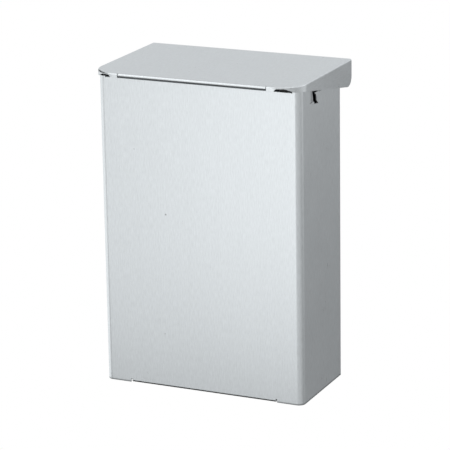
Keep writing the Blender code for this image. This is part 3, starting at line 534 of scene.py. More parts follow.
def flange_lines():
    """Lines down the left flange from the rear to the hem's relief: (x, y, outward x, outward y, lowest z).

    At the rear the lower edge is an arc that meets the back and the sloping line. At the front the plan is an
    arc, round which the lower edge leaves the sloping line for the corner cut's depths.
    """
    slope = math.atan((FLANGE_BACK_DEPTH - FLANGE_FRONT_DEPTH) / (LID_BACK_Y - LID_FRONT_Y))
    hub_y = LID_BACK_Y - FLANGE_CORNER
    hub_z = flange_bottom(hub_y) + FLANGE_CORNER / math.cos(slope)
    a = np.linspace(math.pi / 2, -slope, BEND_STEPS + 1)
    rear = stack(-LID_HALF, hub_y + FLANGE_CORNER * np.sin(a), -1, 0, hub_z - FLANGE_CORNER * np.cos(a))
    middle_y = np.linspace(rear[-1, 1], LID_FRONT_Y + LID_CORNER, FLANGE_STEPS + 1)[1:-1]
    middle = stack(-LID_HALF, middle_y, -1, 0, flange_bottom(middle_y))
    hub = (LID_CORNER - LID_HALF, LID_FRONT_Y + LID_CORNER)
    corner = arc_lines(hub, LID_CORNER, math.pi, 1.5 * math.pi, CORNER_STEPS)
    from_front = np.linspace(math.pi / 2, 0, len(corner))
    cut = LID_TOP_Z - np.interp(from_front, CORNER_CUT_ANGLES, CORNER_CUT_DEPTHS)
    cut = np.where(from_front > CORNER_CUT_ANGLES[-1], flange_bottom(corner[:, 1]), cut)
    corner = np.concatenate([corner, cut[:, None]], axis=1)
    last = stack(-(LID_HEM_HALF + HEM_RELIEF), LID_FRONT_Y, 0, -1, LID_TOP_Z - CORNER_CUT_DEPTHS[0])
    return np.concatenate([rear, middle, corner, last[None, :]])


def lid_top(border):
    """The flat top: row k runs straight across at the y of border point k, and the last row ends at the hem.

    Also gives the x places along the hem.
    """
    rows = border[:-1]
    corner_x = -rows[-1, 0]
    inner = np.linspace(0, LID_HEM_HALF, LID_HEM_STEPS + 1)
    cross = np.concatenate([inner, [LID_HEM_HALF + HEM_RELIEF, corner_x]]) / corner_x
    cross = np.concatenate([-cross[::-1], cross[1:]])
    x = -rows[:, :1] * cross
    y = rows[:, 1:] * np.ones_like(cross)
    in_hem = np.abs(x[-1]) < LID_HEM_HALF + WELD
    y[-1] = np.where(in_hem, LID_FRONT_Y + LID_HEM_RADIUS, y[-1])
    points = stack(x, y, LID_TOP_Z)
    return (points, stack(0 * x, 0.0, 1.0), stack(x, y), uncut(points)), x[-1][in_hem]


def lid_flange(lines, border):
    """The left flange: border point + outward * r sin t, down by r (1 - cos t), then straight to its edge."""
    x, y, out_x, out_y, low_z = lines.T
    t = np.linspace(0, math.pi / 2, BEND_STEPS + 1)[:, None]
    bend_x = border[:, 0] + out_x * LID_BEND * np.sin(t)
    bend_y = border[:, 1] + out_y * LID_BEND * np.sin(t)
    bend_z = LID_TOP_Z - LID_BEND * (1 - np.cos(t)) + 0 * bend_x
    shares = np.array([[1 / 3], [2 / 3], [1]])
    drop = (LID_TOP_Z - LID_BEND - low_z) * shares
    points = stack(np.concatenate([bend_x, x + 0 * drop]), np.concatenate([bend_y, y + 0 * drop]),
                   np.concatenate([bend_z, LID_TOP_Z - LID_BEND - drop]))
    tilt = np.concatenate([t, np.full_like(shares, math.pi / 2)])
    normals = stack(out_x * np.sin(tilt), out_y * np.sin(tilt), np.cos(tilt))
    run = np.concatenate([LID_BEND * t + 0 * bend_x, LID_BEND * math.pi / 2 + drop])
    blank = stack(border[:, 0] + out_x * run, border[:, 1] + out_y * run)
    return points, normals, blank, uncut(points)


def lid_hem(x):
    """The front hem: half a turn of radius LID_HEM_RADIUS about the front edge, then back under the top."""
    inset, travel, tilt, run = (part[:, None] for part in round_bend(math.pi, LID_HEM_RADIUS, LID_HEM_DEPTH))
    hub_y = LID_FRONT_Y + LID_HEM_RADIUS
    points = stack(x, hub_y - travel, LID_TOP_Z - inset)
    normals = stack(0 * x, -np.sin(tilt), np.cos(tilt))
    return points, normals, stack(x, hub_y - run), uncut(points)


def build_lid(face, edge):
    """Flat top, side flanges carried round the front corners, and a hem rolled under the front edge."""
    lines = flange_lines()
    border = lines[:, :2] - lines[:, 2:4] * LID_BEND
    top, hem_x = lid_top(border)
    left = lid_flange(lines, border)
    points, normals, blank, keep = left
    flip = np.array([-1.0, 1.0, 1.0])
    right = (points * flip, normals * flip, blank * flip[:2], keep)
    return sheet_piece("lid_sheet", [top, left, right, lid_hem(hem_x)], SHEET, face, edge)


# ------------ folded strips


def folded_line(path):
    """A strip's section: (y, z, normal y, normal z, length) along a centre line whose corners are rounded.

    Corner: hub + radius * (cos a, sin a) about the hub that touches both legs, the radius being that of the
    middle of the sheet. The normals point to the left of the way that the path runs.
    """
    path = np.array(path)
    legs = unit(np.diff(path, axis=0))
    left = stack(-legs[:, 1], legs[:, 0])
    heading = np.unwrap(np.arctan2(legs[:, 1], legs[:, 0]))
    radius = HARDWARE_BEND + HARDWARE_SHEET / 2
    parts = [np.append(path[0], left[0])[None, :]]
    for corner, leg, normal, start, end in zip(path[1:-1], legs, left, heading, heading[1:]):
        side = np.sign(end - start)
        hub = corner - leg * radius * math.tan(abs(end - start) / 2) + side * radius * normal
        a = np.linspace(start, end, BEND_STEPS + 1)
        normals = stack(-np.sin(a), np.cos(a))
        parts.append(np.concatenate([hub - side * radius * normals, normals], axis=1))
    parts.append(np.append(path[-1], left[-1])[None, :])
    line = np.concatenate(parts)
    steps = np.linalg.norm(np.diff(line[:, :2], axis=0), axis=1)
    return np.concatenate([line, np.append(0, np.cumsum(steps))[:, None]], axis=1)


def slot_patch(points, normals, blank, rows, columns):
    """A ring of cells between a window of a grid and an upright slot with round ends in the window's middle.

    Each border point of the window goes with the slot's nearest point: the nearest point of the middle line,
    and from there half the slot's width towards the border point.
    """
    (top, bottom), (left, right) = rows, columns
    across, down = np.arange(left, right), np.arange(top, bottom)
    i = np.concatenate([np.full(len(across), top), down, np.full(len(across), bottom), down[::-1] + 1, [top]])
    j = np.concatenate([across, np.full(len(down), right), across[::-1] + 1, np.full(len(down), left),
                        [left]])
    border = points[i, j]
    centre = (points[top, left] + points[bottom, right]) / 2
    reach = (SCREW_SLOT_LENGTH - SCREW_SLOT_WIDTH) / 2
    spine = stack(centre[0], centre[1], centre[2] + np.clip(border[:, 2] - centre[2], -reach, reach))
    rim = spine + SCREW_SLOT_WIDTH / 2 * unit(border - spine)
    ring = border + (rim - border) * np.array([0, 0.5, 1])[:, None, None]
    shift = stack(ring[..., 0] - border[:, 0], border[:, 2] - ring[..., 2])
    return ring, np.broadcast_to(normals[i, j], ring.shape), blank[i, j] + shift, uncut(ring)


def build_strip(name, path, half, face, edge, slots=()):
    """A bent strip, its section carried straight along x, with an upright screw slot at each given x place.

    The slots are cut into the section's first leg, which runs down from its top.
    """
    line = folded_line(path)
    half_window = SCREW_SLOT_WIDTH / 2 + SCREW_SLOT_MARGIN
    reach = SCREW_SLOT_LENGTH / 2 + SCREW_SLOT_MARGIN
    across = np.linspace(-half_window, half_window, WINDOW_COLUMNS)
    x = np.unique(np.concatenate([[-half, half], *(place + across for place in slots)]))
    if slots:
        window = np.tile(line[0], (WINDOW_ROWS, 1))
        window[:, 1] = np.linspace(SCREW_SLOT_RISE + reach, SCREW_SLOT_RISE - reach, WINDOW_ROWS)
        window[:, 4] = line[0, 1] - window[:, 1]
        line = np.concatenate([line[:1], window, line[1:]])
    y, z, normal_y, normal_z, length = line.T[..., None]
    points = stack(x, y + HARDWARE_SHEET / 2 * normal_y, z + HARDWARE_SHEET / 2 * normal_z)
    normals = stack(0 * x, normal_y, normal_z)
    blank = stack(x, length)
    keep = uncut(points)
    patches = [(points, normals, blank, keep)]
    for place in slots:
        left, right = (int(np.argmin(np.abs(x - place - side * half_window))) for side in (-1, 1))
        keep[1:WINDOW_ROWS, left:right] = False
        patches.append(slot_patch(points, normals, blank, (1, WINDOW_ROWS), (left, right)))
    return sheet_piece(name, patches, HARDWARE_SHEET, face, edge)


def build_hook_strips(face, edge):
    """Wall bracket with its upturned lip, and the container's rail that hooks over the lip."""
    middle = HARDWARE_SHEET / 2
    low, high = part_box("wall_bracket")
    plate_y, lip_y, ledge_z = high.y - middle, low.y + middle, low.z + middle
    lip_z = low.z + HOOK_HEIGHT
    slot_x = high.x - SCREW_SLOT_INSET
    path = [(plate_y, high.z), (plate_y, ledge_z), (lip_y, ledge_z), (lip_y, lip_z)]
    bracket = build_strip("bracket_bend", path, high.x, face, edge, (-slot_x, slot_x))
    low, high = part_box("hanging_rail")
    foot_y, rail_y, web_z = low.y + middle, high.y - middle, high.z - middle
    path = [(foot_y, low.z), (foot_y, web_z), (rail_y, web_z), (rail_y, lip_z - HOOK_OVERLAP)]
    return bracket, build_strip("rail_bend", path, high.x, face, edge)


def build_spacer(face, edge):
    """Hat-shaped strip: foot, wall, crown, wall, foot."""
    middle = HARDWARE_SHEET / 2
    low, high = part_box("rear_spacer")
    foot_y, crown_y = low.y + middle, high.y - middle
    upper_z, lower_z = ((low.z + high.z + side * SPACER_CROWN) / 2 for side in (1, -1))
    path = [(foot_y, high.z), (foot_y, upper_z), (crown_y, upper_z), (crown_y, lower_z), (foot_y, lower_z),
            (foot_y, low.z)]
    return build_strip("spacer_bend", path, high.x, face, edge)


# ------------ small fittings


def eased(profile, ease):
    """A closed outline whose corners are rounded: near a corner C it runs (1-t)^2 A + 2t(1-t) C + t^2 B.

    A and B lie on the corner's two sides, an ease away but within EASE_SHARE of the shorter side. Corners
    whose second number is 0 lie on an axis of turning and stay as they are.
    """
    corner = np.array(profile, dtype=float)
    to_last = np.roll(corner, 1, axis=0) - corner
    to_next = np.roll(corner, -1, axis=0) - corner
    shorter = np.minimum(np.linalg.norm(to_last, axis=1), np.linalg.norm(to_next, axis=1))
    reach = np.where(corner[:, 1:] > 0, np.minimum(ease, EASE_SHARE * shorter)[:, None], 0.0)
    a = corner + reach * unit(to_last)
    b = corner + reach * unit(to_next)
    t = np.linspace(0, 1, EASE_STEPS + 1)[:, None, None]
    curve = (1 - t) ** 2 * a + 2 * t * (1 - t) * corner + t ** 2 * b
    return np.swapaxes(curve, 0, 1).reshape(-1, 2)


def turned(name, profile, frame_of, material):
    """A closed outline of (distance along the axis, radius) points, turned round it: (a, r cos q, r sin q).

    Points that lie on the axis become one pole each. frame_of places (along, u, v) in space.
    """
    q = np.linspace(0, 2 * math.pi, TURN_STEPS, endpoint=False)
    along, radius = profile[:, :1], np.clip(profile[:, 1:], 0, None)
    points = frame_of(along + 0 * q, radius * np.cos(q), radius * np.sin(q))
    rows, columns = points.shape[:2]
    i, j = np.mgrid[0:rows, 0:columns]
    here, ahead, aside = i * columns, (i + 1) % rows * columns, (j + 1) % columns
    quads = np.stack([here + j, ahead + j, ahead + aside, here + aside], axis=-1)
    return closed_piece(name, mesh_of(name, points, quads.reshape(-1, 4).tolist()), material)


def closed_piece(name, mesh, material, merge=WELD):
    """Joins doubled points, turns every face outwards and shades the piece smoothly up to its sharp edges."""
    work = bmesh.new()
    work.from_mesh(mesh)
    bmesh.ops.remove_doubles(work, verts=work.verts, dist=merge)
    bmesh.ops.dissolve_degenerate(work, edges=work.edges, dist=merge)
    bmesh.ops.delete(work, geom=[edge for edge in work.edges if not edge.link_faces], context="EDGES")
    bmesh.ops.recalc_face_normals(work, faces=work.faces)
    work.to_mesh(mesh)
    work.free()
    mesh.shade_smooth()
    mesh.set_sharp_from_angle(angle=SHARP_ANGLE)
    mesh.materials.clear()
    mesh.materials.append(material)
    return placed(name, mesh)


def rounded_copy(node, name, material):
    """A frame piece with its triangles joined to flat faces and a small radius on its sharp edges."""
    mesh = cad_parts[node].data.copy()
    mesh.name = name
    item = closed_piece(name, mesh, material, merge=2 * WELD)
    work = bmesh.new()
    work.from_mesh(mesh)
    bmesh.ops.dissolve_limit(work, angle_limit=FLAT_ANGLE, verts=work.verts, edges=work.edges)
    work.to_mesh(mesh)
    work.free()
    edges = item.modifiers.new("rounded edges", "BEVEL")
    edges.width = BENT_EASE
    edges.segments = 2
    edges.limit_method = "ANGLE"
    edges.angle_limit = BEVEL_ANGLE
    edges.harden_normals = True
    return item


def on_hinge(side):
    """Places a turned outline on the hinge axis, its length measured outwards from the middle of the bin."""
    y, z = (ROD_LOW.y + ROD_HIGH.y) / 2, (ROD_LOW.z + ROD_HIGH.z) / 2
    return lambda along, u, v: stack(side * along, y + u, z + v)


def build_rod(material):
    """Drawn rod with chamfered ends."""
    half, radius, chamfer = ROD_HIGH.x, ROD_RADIUS, ROD_RADIUS / 4
    outline = [(-half, 0), (-half, radius - chamfer), (chamfer - half, radius),
               (half - chamfer, radius), (half, radius - chamfer), (half, 0)]
    return turned("rod", eased(outline, ROD_EASE), on_hinge(1), material)


def build_bush(side, label, material):
    """Flanged sleeve: a thin tube through the lug with a wide collar on its outer face."""
    low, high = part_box(f"hinge_bush_{label}")
    inner, outer = sorted((abs(low.x), abs(high.x)))
    collar = (high.z - low.z) / 2
    sleeve = ROD_BORE + SLEEVE_WALL
    shoulder = outer - COLLAR_THICKNESS
    outline = [(inner, ROD_BORE), (inner, sleeve), (shoulder, sleeve), (shoulder, collar),
               (outer, collar), (outer, ROD_BORE)]
    return turned(f"bush_{label}", eased(outline, BUSH_EASE), on_hinge(side), material)


def build_nut(side, label, material):
    """Dished washer pressed on the rod's end."""
    low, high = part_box(f"push_nut_{label}")
    start, end = sorted((abs(low.x), abs(high.x)))
    rim = (high.z - low.z) / 2
    middle, waist = (start + end) / 2, (ROD_BORE + rim) / 2
    outline = [(start, rim), (middle, rim), (end, waist),
               (end, ROD_BORE), (middle, ROD_BORE), (middle, waist)]
    return turned(f"nut_{label}", eased(outline, NUT_EASE), on_hinge(side), material)


def build_stud(node, name, material, upright):
    """Rubber stud under the lid, which stands upright, or pad on the spacer: a disc with a chamfered face."""
    low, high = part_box(node)
    centre = (low + high) / 2
    radius = (high.x - low.x) / 2
    start, end = (high.z, low.z) if upright else (low.y, high.y)
    chamfer = radius / 4 if upright else (end - start) / 4
    shoulder = end - math.copysign(chamfer, end - start)
    outline = [(start, 0), (start, radius), (shoulder, radius), (end, radius - chamfer), (end, 0)]

    def place(along, u, v):
        if upright:
            return stack(centre.x + u, centre.y + v, along)
        return stack(centre.x + u, along, centre.z + v)

    return turned(name, eased(outline, RUBBER_EASE), place, material)


# ------------ finishes

STEEL = (0.600, 0.632, 0.650)
MILL_STEEL = (0.545, 0.565, 0.575)
DRAWN_STEEL = (0.60, 0.61, 0.62)
CUT_STEEL = (0.70, 0.72, 0.73)
GRAZING = (0.80, 0.81, 0.82, 1.0)
RUBBER = (0.028, 0.028, 0.030)
NYLON = (0.80, 0.79, 0.74)

# Marks on the shell. A spot is (place across the blank from its middle, height, radius, share of the tone
# that is left in its middle). The front spots are specks on the sheet. Three spots, one above the other, are
# painted shade on each notch's bent tab. On the blank the side starts after half the front and the bend, and
# the tab's middle lies half a tab behind its bend line.
FRONT_SPECKS = [(-0.0670, -0.0228, 0.0010, 0.55), (-0.0354, -0.0836, 0.0013, 0.25),
                (-0.0390, -0.2022, 0.0010, 0.60)]
SIDE_START = HALF_WIDTH - FRONT_BEND + FRONT_BEND * math.pi / 2
TAB_MIDDLE = SIDE_START - FRONT_BEND + NOTCH_START + TAB_FOOT_WIDTH / 2
TAB_PAINTED_SHADE = [(side * TAB_MIDDLE, RIM_Z - drop, 0.0045, 0.58)
            for side in (-1, 1) for drop in (0.0122, 0.0077, 0.0032)]
# Darkening along the shell's foot: the heights above the bottom where it is deepest and where it ends, and
# the share of the tone that is left where it is deepest.
FOOT_DARK_START = 0.0002
FOOT_DARK_END = 0.0022
FOOT_DARK_TONE = 0.35


def add(tree, kind, sockets=(), **settings):
    """A node with its settings, whose sockets get a value or a link from another node's socket."""
    node = tree.nodes.new(kind)
    for key, value in settings.items():
        setattr(node, key, value)
    for key, value in dict(sockets).items():
        if isinstance(value, bpy.types.NodeSocket):
            tree.links.new(value, node.inputs[key])
        else:
            node.inputs[key].default_value = value
    return node


def finish_material(name, metallic, **fixed):
    """A new material and its shader, with the numbers that are the same all over it."""
    material = bpy.data.materials.new(name)
    material.use_nodes = True
    shader = material.node_tree.nodes["Principled BSDF"]
    shader.inputs["Metallic"].default_value = metallic
    for key, value in fixed.items():
        shader.inputs[key.replace("_", " ")].default_value = value
    return material.node_tree, shader, material


def own_place(tree):
    """Places on a piece in metres, in its own space."""
    return add(tree, "ShaderNodeTexCoord").outputs["Object"]


def noise(tree, place, scale, detail=3.0, roughness=0.55):
    """Noise on a place, drawn out where scale (in waves per metre along each axis) is small."""
    mapping = add(tree, "ShaderNodeMapping", {"Vector": place, "Scale": scale})
    wave = add(tree, "ShaderNodeTexNoise", {"Vector": mapping.outputs["Vector"], "Scale": 1.0,
                                            "Detail": detail, "Roughness": roughness})
    return wave.outputs["Fac"]


def swing(tree, base, *layers):
    """base + the sum of amount * (layer - 0.5) over the (layer, amount) pairs."""
    total = base - 0.5 * sum(amount for layer, amount in layers)
    for layer, amount in layers:
        sockets = {0: layer, 1: amount, 2: total}
        total = add(tree, "ShaderNodeMath", sockets, operation="MULTIPLY_ADD").outputs[0]
    return total


def times(tree, one, other):
    """The product of two numbers, each a value or a socket."""
    return add(tree, "ShaderNodeMath", {0: one, 1: other}, operation="MULTIPLY").outputs[0]


def ramp(tree, value, start, end, low, high):
    """Goes smoothly from low, where the value is at the start, to high, where it is at the end."""
    sockets = {"Value": value, "From Min": start, "From Max": end, "To Min": low, "To Max": high}
    return add(tree, "ShaderNodeMapRange", sockets, interpolation_type="SMOOTHSTEP").outputs["Result"]


def distance(tree, place, centre):
    """How far a place lies from a fixed centre."""
    return add(tree, "ShaderNodeVectorMath", {0: place, 1: centre}, operation="DISTANCE").outputs["Value"]


def toned(tree, colour, tone):
    """A colour made lighter or darker by a tone near 1."""
    return add(tree, "ShaderNodeVectorMath", {0: colour, "Scale": tone}, operation="SCALE").outputs["Vector"]


def bumps(tree, *layers):
    """Relief from (height, depth in metres, strength) layers, the coarse ones first."""
    normal = None
    for height, depth, strength in layers:
        sockets = {"Height": height, "Distance": depth, "Strength": strength}
        if normal is not None:
            sockets["Normal"] = normal
        normal = add(tree, "ShaderNodeBump", sockets).outputs["Normal"]
    return normal


def coat(tree, shader, colour, roughness, relief):
    """Gives a shader its colour, roughness and relief."""
    tree.links.new(colour, shader.inputs["Base Color"])
    tree.links.new(roughness, shader.inputs["Roughness"])
    tree.links.new(relief, shader.inputs["Normal"])


def darken_spots_and_foot(tree, blank, tone, spots, foot):
    """Darkens the tone in each spot, the notch tabs' spots being painted shade, and towards the sheet's foot,
    above which the tone is plain.
    """
    for across, height, radius, left in spots:
        apart = distance(tree, blank, (across, height, 0.0))
        tone = times(tree, tone, ramp(tree, apart, 0.0, radius, left, 1.0))
    if foot is None:
        return tone
    height = add(tree, "ShaderNodeSeparateXYZ", {0: blank}).outputs["Y"]
    return times(tree, tone, ramp(tree, height, foot + FOOT_DARK_START, foot + FOOT_DARK_END, FOOT_DARK_TONE, 1.0))


def brushed_sheet(name, spots=(), foot=None):
    """Satin sheet brushed along the blank's second axis.

    Fine scratches and broader streaks run with the grain, a slow cloud is the unevenness that handling
    leaves, and a still slower swell is the slight waviness of a flat sheet.
    """
    tree, shader, material = finish_material(name, 1.0, Anisotropic=0.45, Specular_Tint=GRAZING)
    blank = add(tree, "ShaderNodeUVMap", uv_map="blank").outputs["UV"]
    hair = noise(tree, blank, (950.0, 150.0, 1.0), roughness=0.6)
    streak = noise(tree, blank, (380.0, 34.0, 1.0))
    band = noise(tree, blank, (120.0, 5.0, 1.0), detail=2.0)
    cloud = noise(tree, blank, (30.0, 24.0, 1.0))
    swell = noise(tree, blank, (7.0, 5.0, 1.0), detail=1.0)
    tone = swing(tree, 1.0, (hair, 0.34), (streak, 0.07), (band, 0.03), (cloud, 0.06))
    rough = swing(tree, 0.30, (hair, 0.08), (streak, 0.05), (cloud, 0.05))
    relief = bumps(tree, (swell, 0.0008, 0.5), (streak, 0.00004, 0.35), (hair, 0.00002, 0.4))
    # Where spots are given the tone darkens there, with painted shade on the notch tabs; where a foot is
    # given it darkens towards the bottom edge.
    coat(tree, shader, toned(tree, STEEL, darken_spots_and_foot(tree, blank, tone, spots, foot)), rough, relief)
    across = add(tree, "ShaderNodeTangent", direction_type="UV_MAP", uv_map="blank")
    tree.links.new(across.outputs["Tangent"], shader.inputs["Tangent"])
    return material


def sheared_edge(name):
    """Cut edge of sheet: bright, with the fine marks of shearing."""
    tree, shader, material = finish_material(name, 1.0)
    marks = noise(tree, own_place(tree), (1900.0, 1900.0, 1900.0), detail=2.0)
    colour = toned(tree, CUT_STEEL, swing(tree, 1.0, (marks, 0.25)))
    coat(tree, shader, colour, swing(tree, 0.38, (marks, 0.2)), bumps(tree, (marks, 0.00003, 0.5)))
    return material


def mill_steel(name, colour, roughness, scale):
    """Plain fitting steel: fine rolling or drawing marks along x, and faint clouds."""
    tree, shader, material = finish_material(name, 1.0)
    place = own_place(tree)
    rolled = noise(tree, place, scale)
    cloud = noise(tree, place, (60.0, 60.0, 60.0))
    tone = swing(tree, 1.0, (rolled, 0.12), (cloud, 0.14))
    rough = swing(tree, roughness, (rolled, 0.12), (cloud, 0.12))
    relief = bumps(tree, (cloud, 0.0002, 0.2), (rolled, 0.00002, 0.4))
    coat(tree, shader, toned(tree, colour, tone), rough, relief)
    return material


def moulded(name, colour, roughness, mottling, grain, depth):
    """Moulded rubber or nylon: an even colour with a fine texture and slight mottling."""
    tree, shader, material = finish_material(name, 0.0)
    place = own_place(tree)
    skin = noise(tree, place, (grain, grain, grain))
    mottle = noise(tree, place, (90.0, 90.0, 90.0), detail=2.0)
    colour = toned(tree, colour, swing(tree, 1.0, (mottle, mottling)))
    coat(tree, shader, colour, swing(tree, roughness, (skin, 0.15)), bumps(tree, (skin, depth, 0.5)))
    return material


# ------------ pieces


def dress(piece, body, slot, *nodes):
    """The piece stands for frame nodes and moves with their body; its slot argument is not used."""
    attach(piece, body)
    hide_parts(*nodes)


def build_pieces():
    """Makes the finishes and all pieces of the bracket, the container and the lid."""
    shell_face = brushed_sheet("brushed shell sheet with painted tab shade", FRONT_SPECKS + TAB_PAINTED_SHADE, BOTTOM_Z)
    wall_face = brushed_sheet("brushed wall sheet")
    lid_face = brushed_sheet("brushed lid sheet")
    edge = sheared_edge("sheared sheet edge")
    mill = mill_steel("mill finished steel", MILL_STEEL, 0.36, (30.0, 700.0, 700.0))
    drawn = mill_steel("drawn rod steel", DRAWN_STEEL, 0.24, (20.0, 1500.0, 1500.0))
    rubber = moulded("black rubber", RUBBER, 0.72, 0.5, 2500.0, 0.00004)
    nylon = moulded("natural nylon", NYLON, 0.45, 0.08, 1600.0, 0.00002)

    dress(build_shell(shell_face, edge), "container", "brushed_steel", "container_shell")
    dress(build_panel(wall_face, edge), "container", "brushed_steel", "rear_panel")
    dress(build_pan(wall_face, edge), "container", "brushed_steel", "floor_pan")
    dress(build_lid(lid_face, edge), "lid", "brushed_steel", "lid_panel")
    dress(build_rod(drawn), "lid", "plain_steel", "hinge_rod")
    bracket, rail = build_hook_strips(mill, edge)
    dress(bracket, "bracket", "plain_steel", "wall_bracket")
    dress(rail, "container", "plain_steel", "hanging_rail")
    dress(build_spacer(mill, edge), "container", "plain_steel", "rear_spacer")
    for side, label in ((-1, "left"), (1, "right")):
        lug = rounded_copy(f"hinge_lug_{label}", f"lug_{label}", mill)
        dress(lug, "container", "plain_steel", f"hinge_lug_{label}")
        ear = rounded_copy(f"lid_ear_{label}", f"ear_{label}", mill)
        dress(ear, "lid", "plain_steel", f"lid_ear_{label}")
        dress(build_bush(side, label, nylon), "container", "nylon", f"hinge_bush_{label}")
        dress(build_nut(side, label, drawn), "lid", "plain_steel", f"push_nut_{label}")
        pad = build_stud(f"spacer_pad_{label}", f"pad_{label}", rubber, False)
        dress(pad, "container", "black_rubber", f"spacer_pad_{label}")
        stud = build_stud(f"lid_bumper_{label}", f"bumper_{label}", rubber, True)
        dress(stud, "lid", "black_rubber", f"lid_bumper_{label}")


# ------------ studio

X_AXIS, Y_AXIS, Z_AXIS = (1.0, 0.0, 0.0), (0.0, 1.0, 0.0), (0.0, 0.0, 1.0)

# Reflected cards: (name, centre, way it faces, width, height, strength, ramps). Each ramp is (direction,
# start, end, factor at the start, factor at the end) and shades the card along that direction.
CARDS = [
    ("front", (-1.185, -1.547, -0.45), (0.408, 0.867, 0.1), 2.24, 1.9, 1.24,
     [(Z_AXIS, -1.10, -0.67, 0.40, 1.0), (X_AXIS, -1.60, -0.10, 0.40, 1.60),
      (X_AXIS, -1.95, -1.25, 2.6, 1.0)]),
    ("side", (0.62, 1.35, -0.40), (-1.0, 0.0, 0.1), 3.0, 1.6, 0.50,
     [(Y_AXIS, 0.4, 1.8, 1.25, 0.35), (Y_AXIS, -0.15, 0.75, 0.62, 1.0),
      (Z_AXIS, -0.9, 0.4, 0.77, 1.75), (Z_AXIS, -0.25, 0.4, 1.0, 1.6)]),
    ("right", (1.15, -0.7, -0.3), (-0.788, 0.616, 0.0), 4.06, 2.0, 0.60,
     [((0.616, 0.788, 0.0), -1.2, 1.4, 1.4, 0.95), (Z_AXIS, -0.3, 0.5, 1.0, 0.5)]),
    ("ground", (-0.2, -0.3, -0.93), (0.0, 0.0, 1.0), 2.8, 2.8, 0.09, [(Y_AXIS, -1.5, -0.6, 5.0, 1.0)]),
    ("left", (-1.6, -0.12, 0.45), (1.0, 0.0, -0.1), 2.3, 1.1, 0.02, []),
    ("low_left", (-1.6, 0.15, -0.55), (0.95, 0.0, 0.28), 2.4, 0.78, 1.38, []),
]
FLOOR_Z = -0.95
FLOOR_RADIUS = 0.8
FLOOR_SIDES = 96
WHITE_START = 0.2
WHITE_END = 0.95 * FLOOR_RADIUS
ROOM_LIGHT = 0.45
LAMP_AIM = Vector((0, -0.08, -0.1))
CAMERA_PLACE = (0.96627, -2.14824, 0.56502)


def card_light(name, strength, ramps):
    """A card's light: its strength times all its ramps."""
    material = bpy.data.materials.new(name)
    material.use_nodes = True
    tree = material.node_tree
    tree.nodes.clear()
    place = own_place(tree)
    for direction, start, end, low, high in ramps:
        along = add(tree, "ShaderNodeVectorMath", {0: place, 1: direction}, operation="DOT_PRODUCT")
        strength = times(tree, strength, ramp(tree, along.outputs["Value"], start, end, low, high))
    light = add(tree, "ShaderNodeEmission", {"Strength": strength})
    add(tree, "ShaderNodeOutputMaterial", {"Surface": light.outputs["Emission"]})
    return material


def build_card(name, centre, facing, width, height, material):
    """A flat card that only shows in reflections: centre + u * right + v * upward at its four corners.

    right is level and lies along the card, and it is x for a card that faces straight up.
    """
    facing = Vector(facing).normalized()
    right = facing.cross(Vector(Z_AXIS)) if abs(facing.z) < 0.99 else Vector(X_AXIS)
    right = np.array(right.normalized())
    upward = np.cross(right, np.array(facing))
    u, v = np.meshgrid([-width / 2, width / 2], [-height / 2, height / 2])
    points = np.array(centre) + u[..., None] * right + v[..., None] * upward
    item = placed(name, mesh_of(name, points, [(0, 1, 3, 2)], material))
    for ray in ("camera", "diffuse", "shadow", "transmission"):
        setattr(item, f"visible_{ray}", False)


def build_cards():
    """All the cards, each with a light of its own."""
    for label, centre, facing, width, height, strength, ramps in CARDS:
        light = card_light(f"{label.replace('_', ' ')} card light", strength, ramps)
        build_card(f"{label}_card", centre, facing, width, height, light)


def white_rays(tree):
    """1 for rays that see the backdrop straight, in gloss or through glass, 0 for rays that only light."""
    path = add(tree, "ShaderNodeLightPath").outputs
    seen = path["Is Camera Ray"]
    for kind in ("Is Glossy Ray", "Is Transmission Ray"):
        seen = add(tree, "ShaderNodeMath", {0: seen, 1: path[kind]}, operation="MAXIMUM").outputs[0]
    return seen


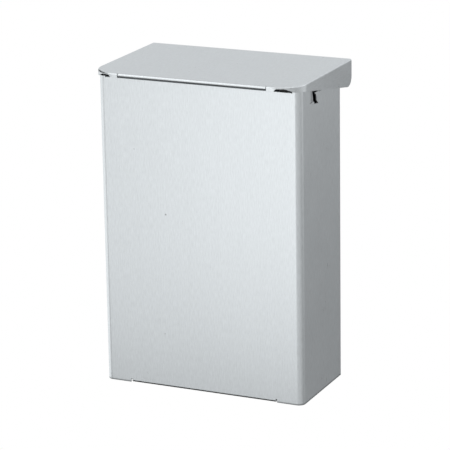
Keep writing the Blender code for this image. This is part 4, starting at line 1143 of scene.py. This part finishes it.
def build_floor():
    """A pale round floor, well below the hung bin: centre + radius * (cos q, sin q).

    From its middle to its rim it goes over to the white of the backdrop, so its rim doesn't show.
    """
    q = np.linspace(0, 2 * np.pi, FLOOR_SIDES, endpoint=False)
    rim = stack(FLOOR_RADIUS * np.cos(q), FLOOR_RADIUS * np.sin(q), FLOOR_Z)
    tree, shader, material = finish_material("pale floor", 0.0, Roughness=0.85)
    place = own_place(tree)
    mottle = noise(tree, place, (3.0, 3.0, 3.0))
    colour = toned(tree, (0.88, 0.88, 0.88), swing(tree, 1.0, (mottle, 0.02)))
    tree.links.new(colour, shader.inputs["Base Color"])
    fade = ramp(tree, distance(tree, place, (0.0, 0.0, FLOOR_Z)), WHITE_START, WHITE_END, 0.5, 1.0)
    share = times(tree, fade, white_rays(tree))
    white = add(tree, "ShaderNodeEmission", {"Color": (1.0, 1.0, 1.0, 1.0)})
    both = add(tree, "ShaderNodeMixShader", {0: share, 1: shader.outputs[0], 2: white.outputs[0]})
    output = next(node for node in tree.nodes if node.bl_idname == "ShaderNodeOutputMaterial")
    tree.links.new(both.outputs[0], output.inputs["Surface"])
    placed("floor", mesh_of("floor", rim, [list(range(FLOOR_SIDES))], material))


def build_world():
    """White to the camera, in gloss and through glass, and a soft even light otherwise."""
    world = bpy.data.worlds.new("studio")
    bpy.context.scene.world = world
    world.use_nodes = True
    tree = world.node_tree
    sockets = {"Value": white_rays(tree), "To Min": ROOM_LIGHT, "To Max": 1.0}
    strength = add(tree, "ShaderNodeMapRange", sockets)
    background = tree.nodes["Background"]
    background.inputs["Color"].default_value = (1.0, 1.0, 1.0, 1.0)
    tree.links.new(strength.outputs["Result"], background.inputs["Strength"])


def build_lamp(name, place, size, power):
    """A soft square lamp that looks at the bin."""
    data = bpy.data.lights.new(name, "AREA")
    data.shape = "SQUARE"
    data.size = size
    data.energy = power
    item = placed(name, data)
    item.location = place
    item.rotation_mode = "QUATERNION"
    item.rotation_quaternion = (LAMP_AIM - Vector(place)).to_track_quat("-Z", "Y")


def build_camera():
    """A long lens from the right front and a little above, turned by azimuth, elevation and roll."""
    azimuth, elevation, roll = 0.43494, 0.28429, -0.01679
    data = bpy.data.cameras.new("camera")
    data.lens = 200.0
    data.sensor_width = 36.0
    flat = math.cos(elevation)
    forward = Vector((-math.sin(azimuth) * flat, math.cos(azimuth) * flat, -math.sin(elevation)))
    level = Vector((math.cos(azimuth), math.sin(azimuth), 0))
    upright = level.cross(forward)
    right = level * math.cos(roll) + upright * math.sin(roll)
    up = upright * math.cos(roll) - level * math.sin(roll)
    turn = Matrix((right, up, -forward)).transposed().to_4x4()
    turn.translation = Vector(CAMERA_PLACE)
    item = placed("camera", data)
    item.matrix_world = turn
    bpy.context.scene.camera = item


build_pieces()
build_floor()
build_world()
build_lamp("key_lamp", (-1.6, -1.8, 1.8), 2.2, 14)
build_lamp("fill_lamp", (1.8, -1.2, 1.2), 1.8, 6)
build_cards()
build_camera()
bpy.context.scene.view_settings.view_transform = "Standard"
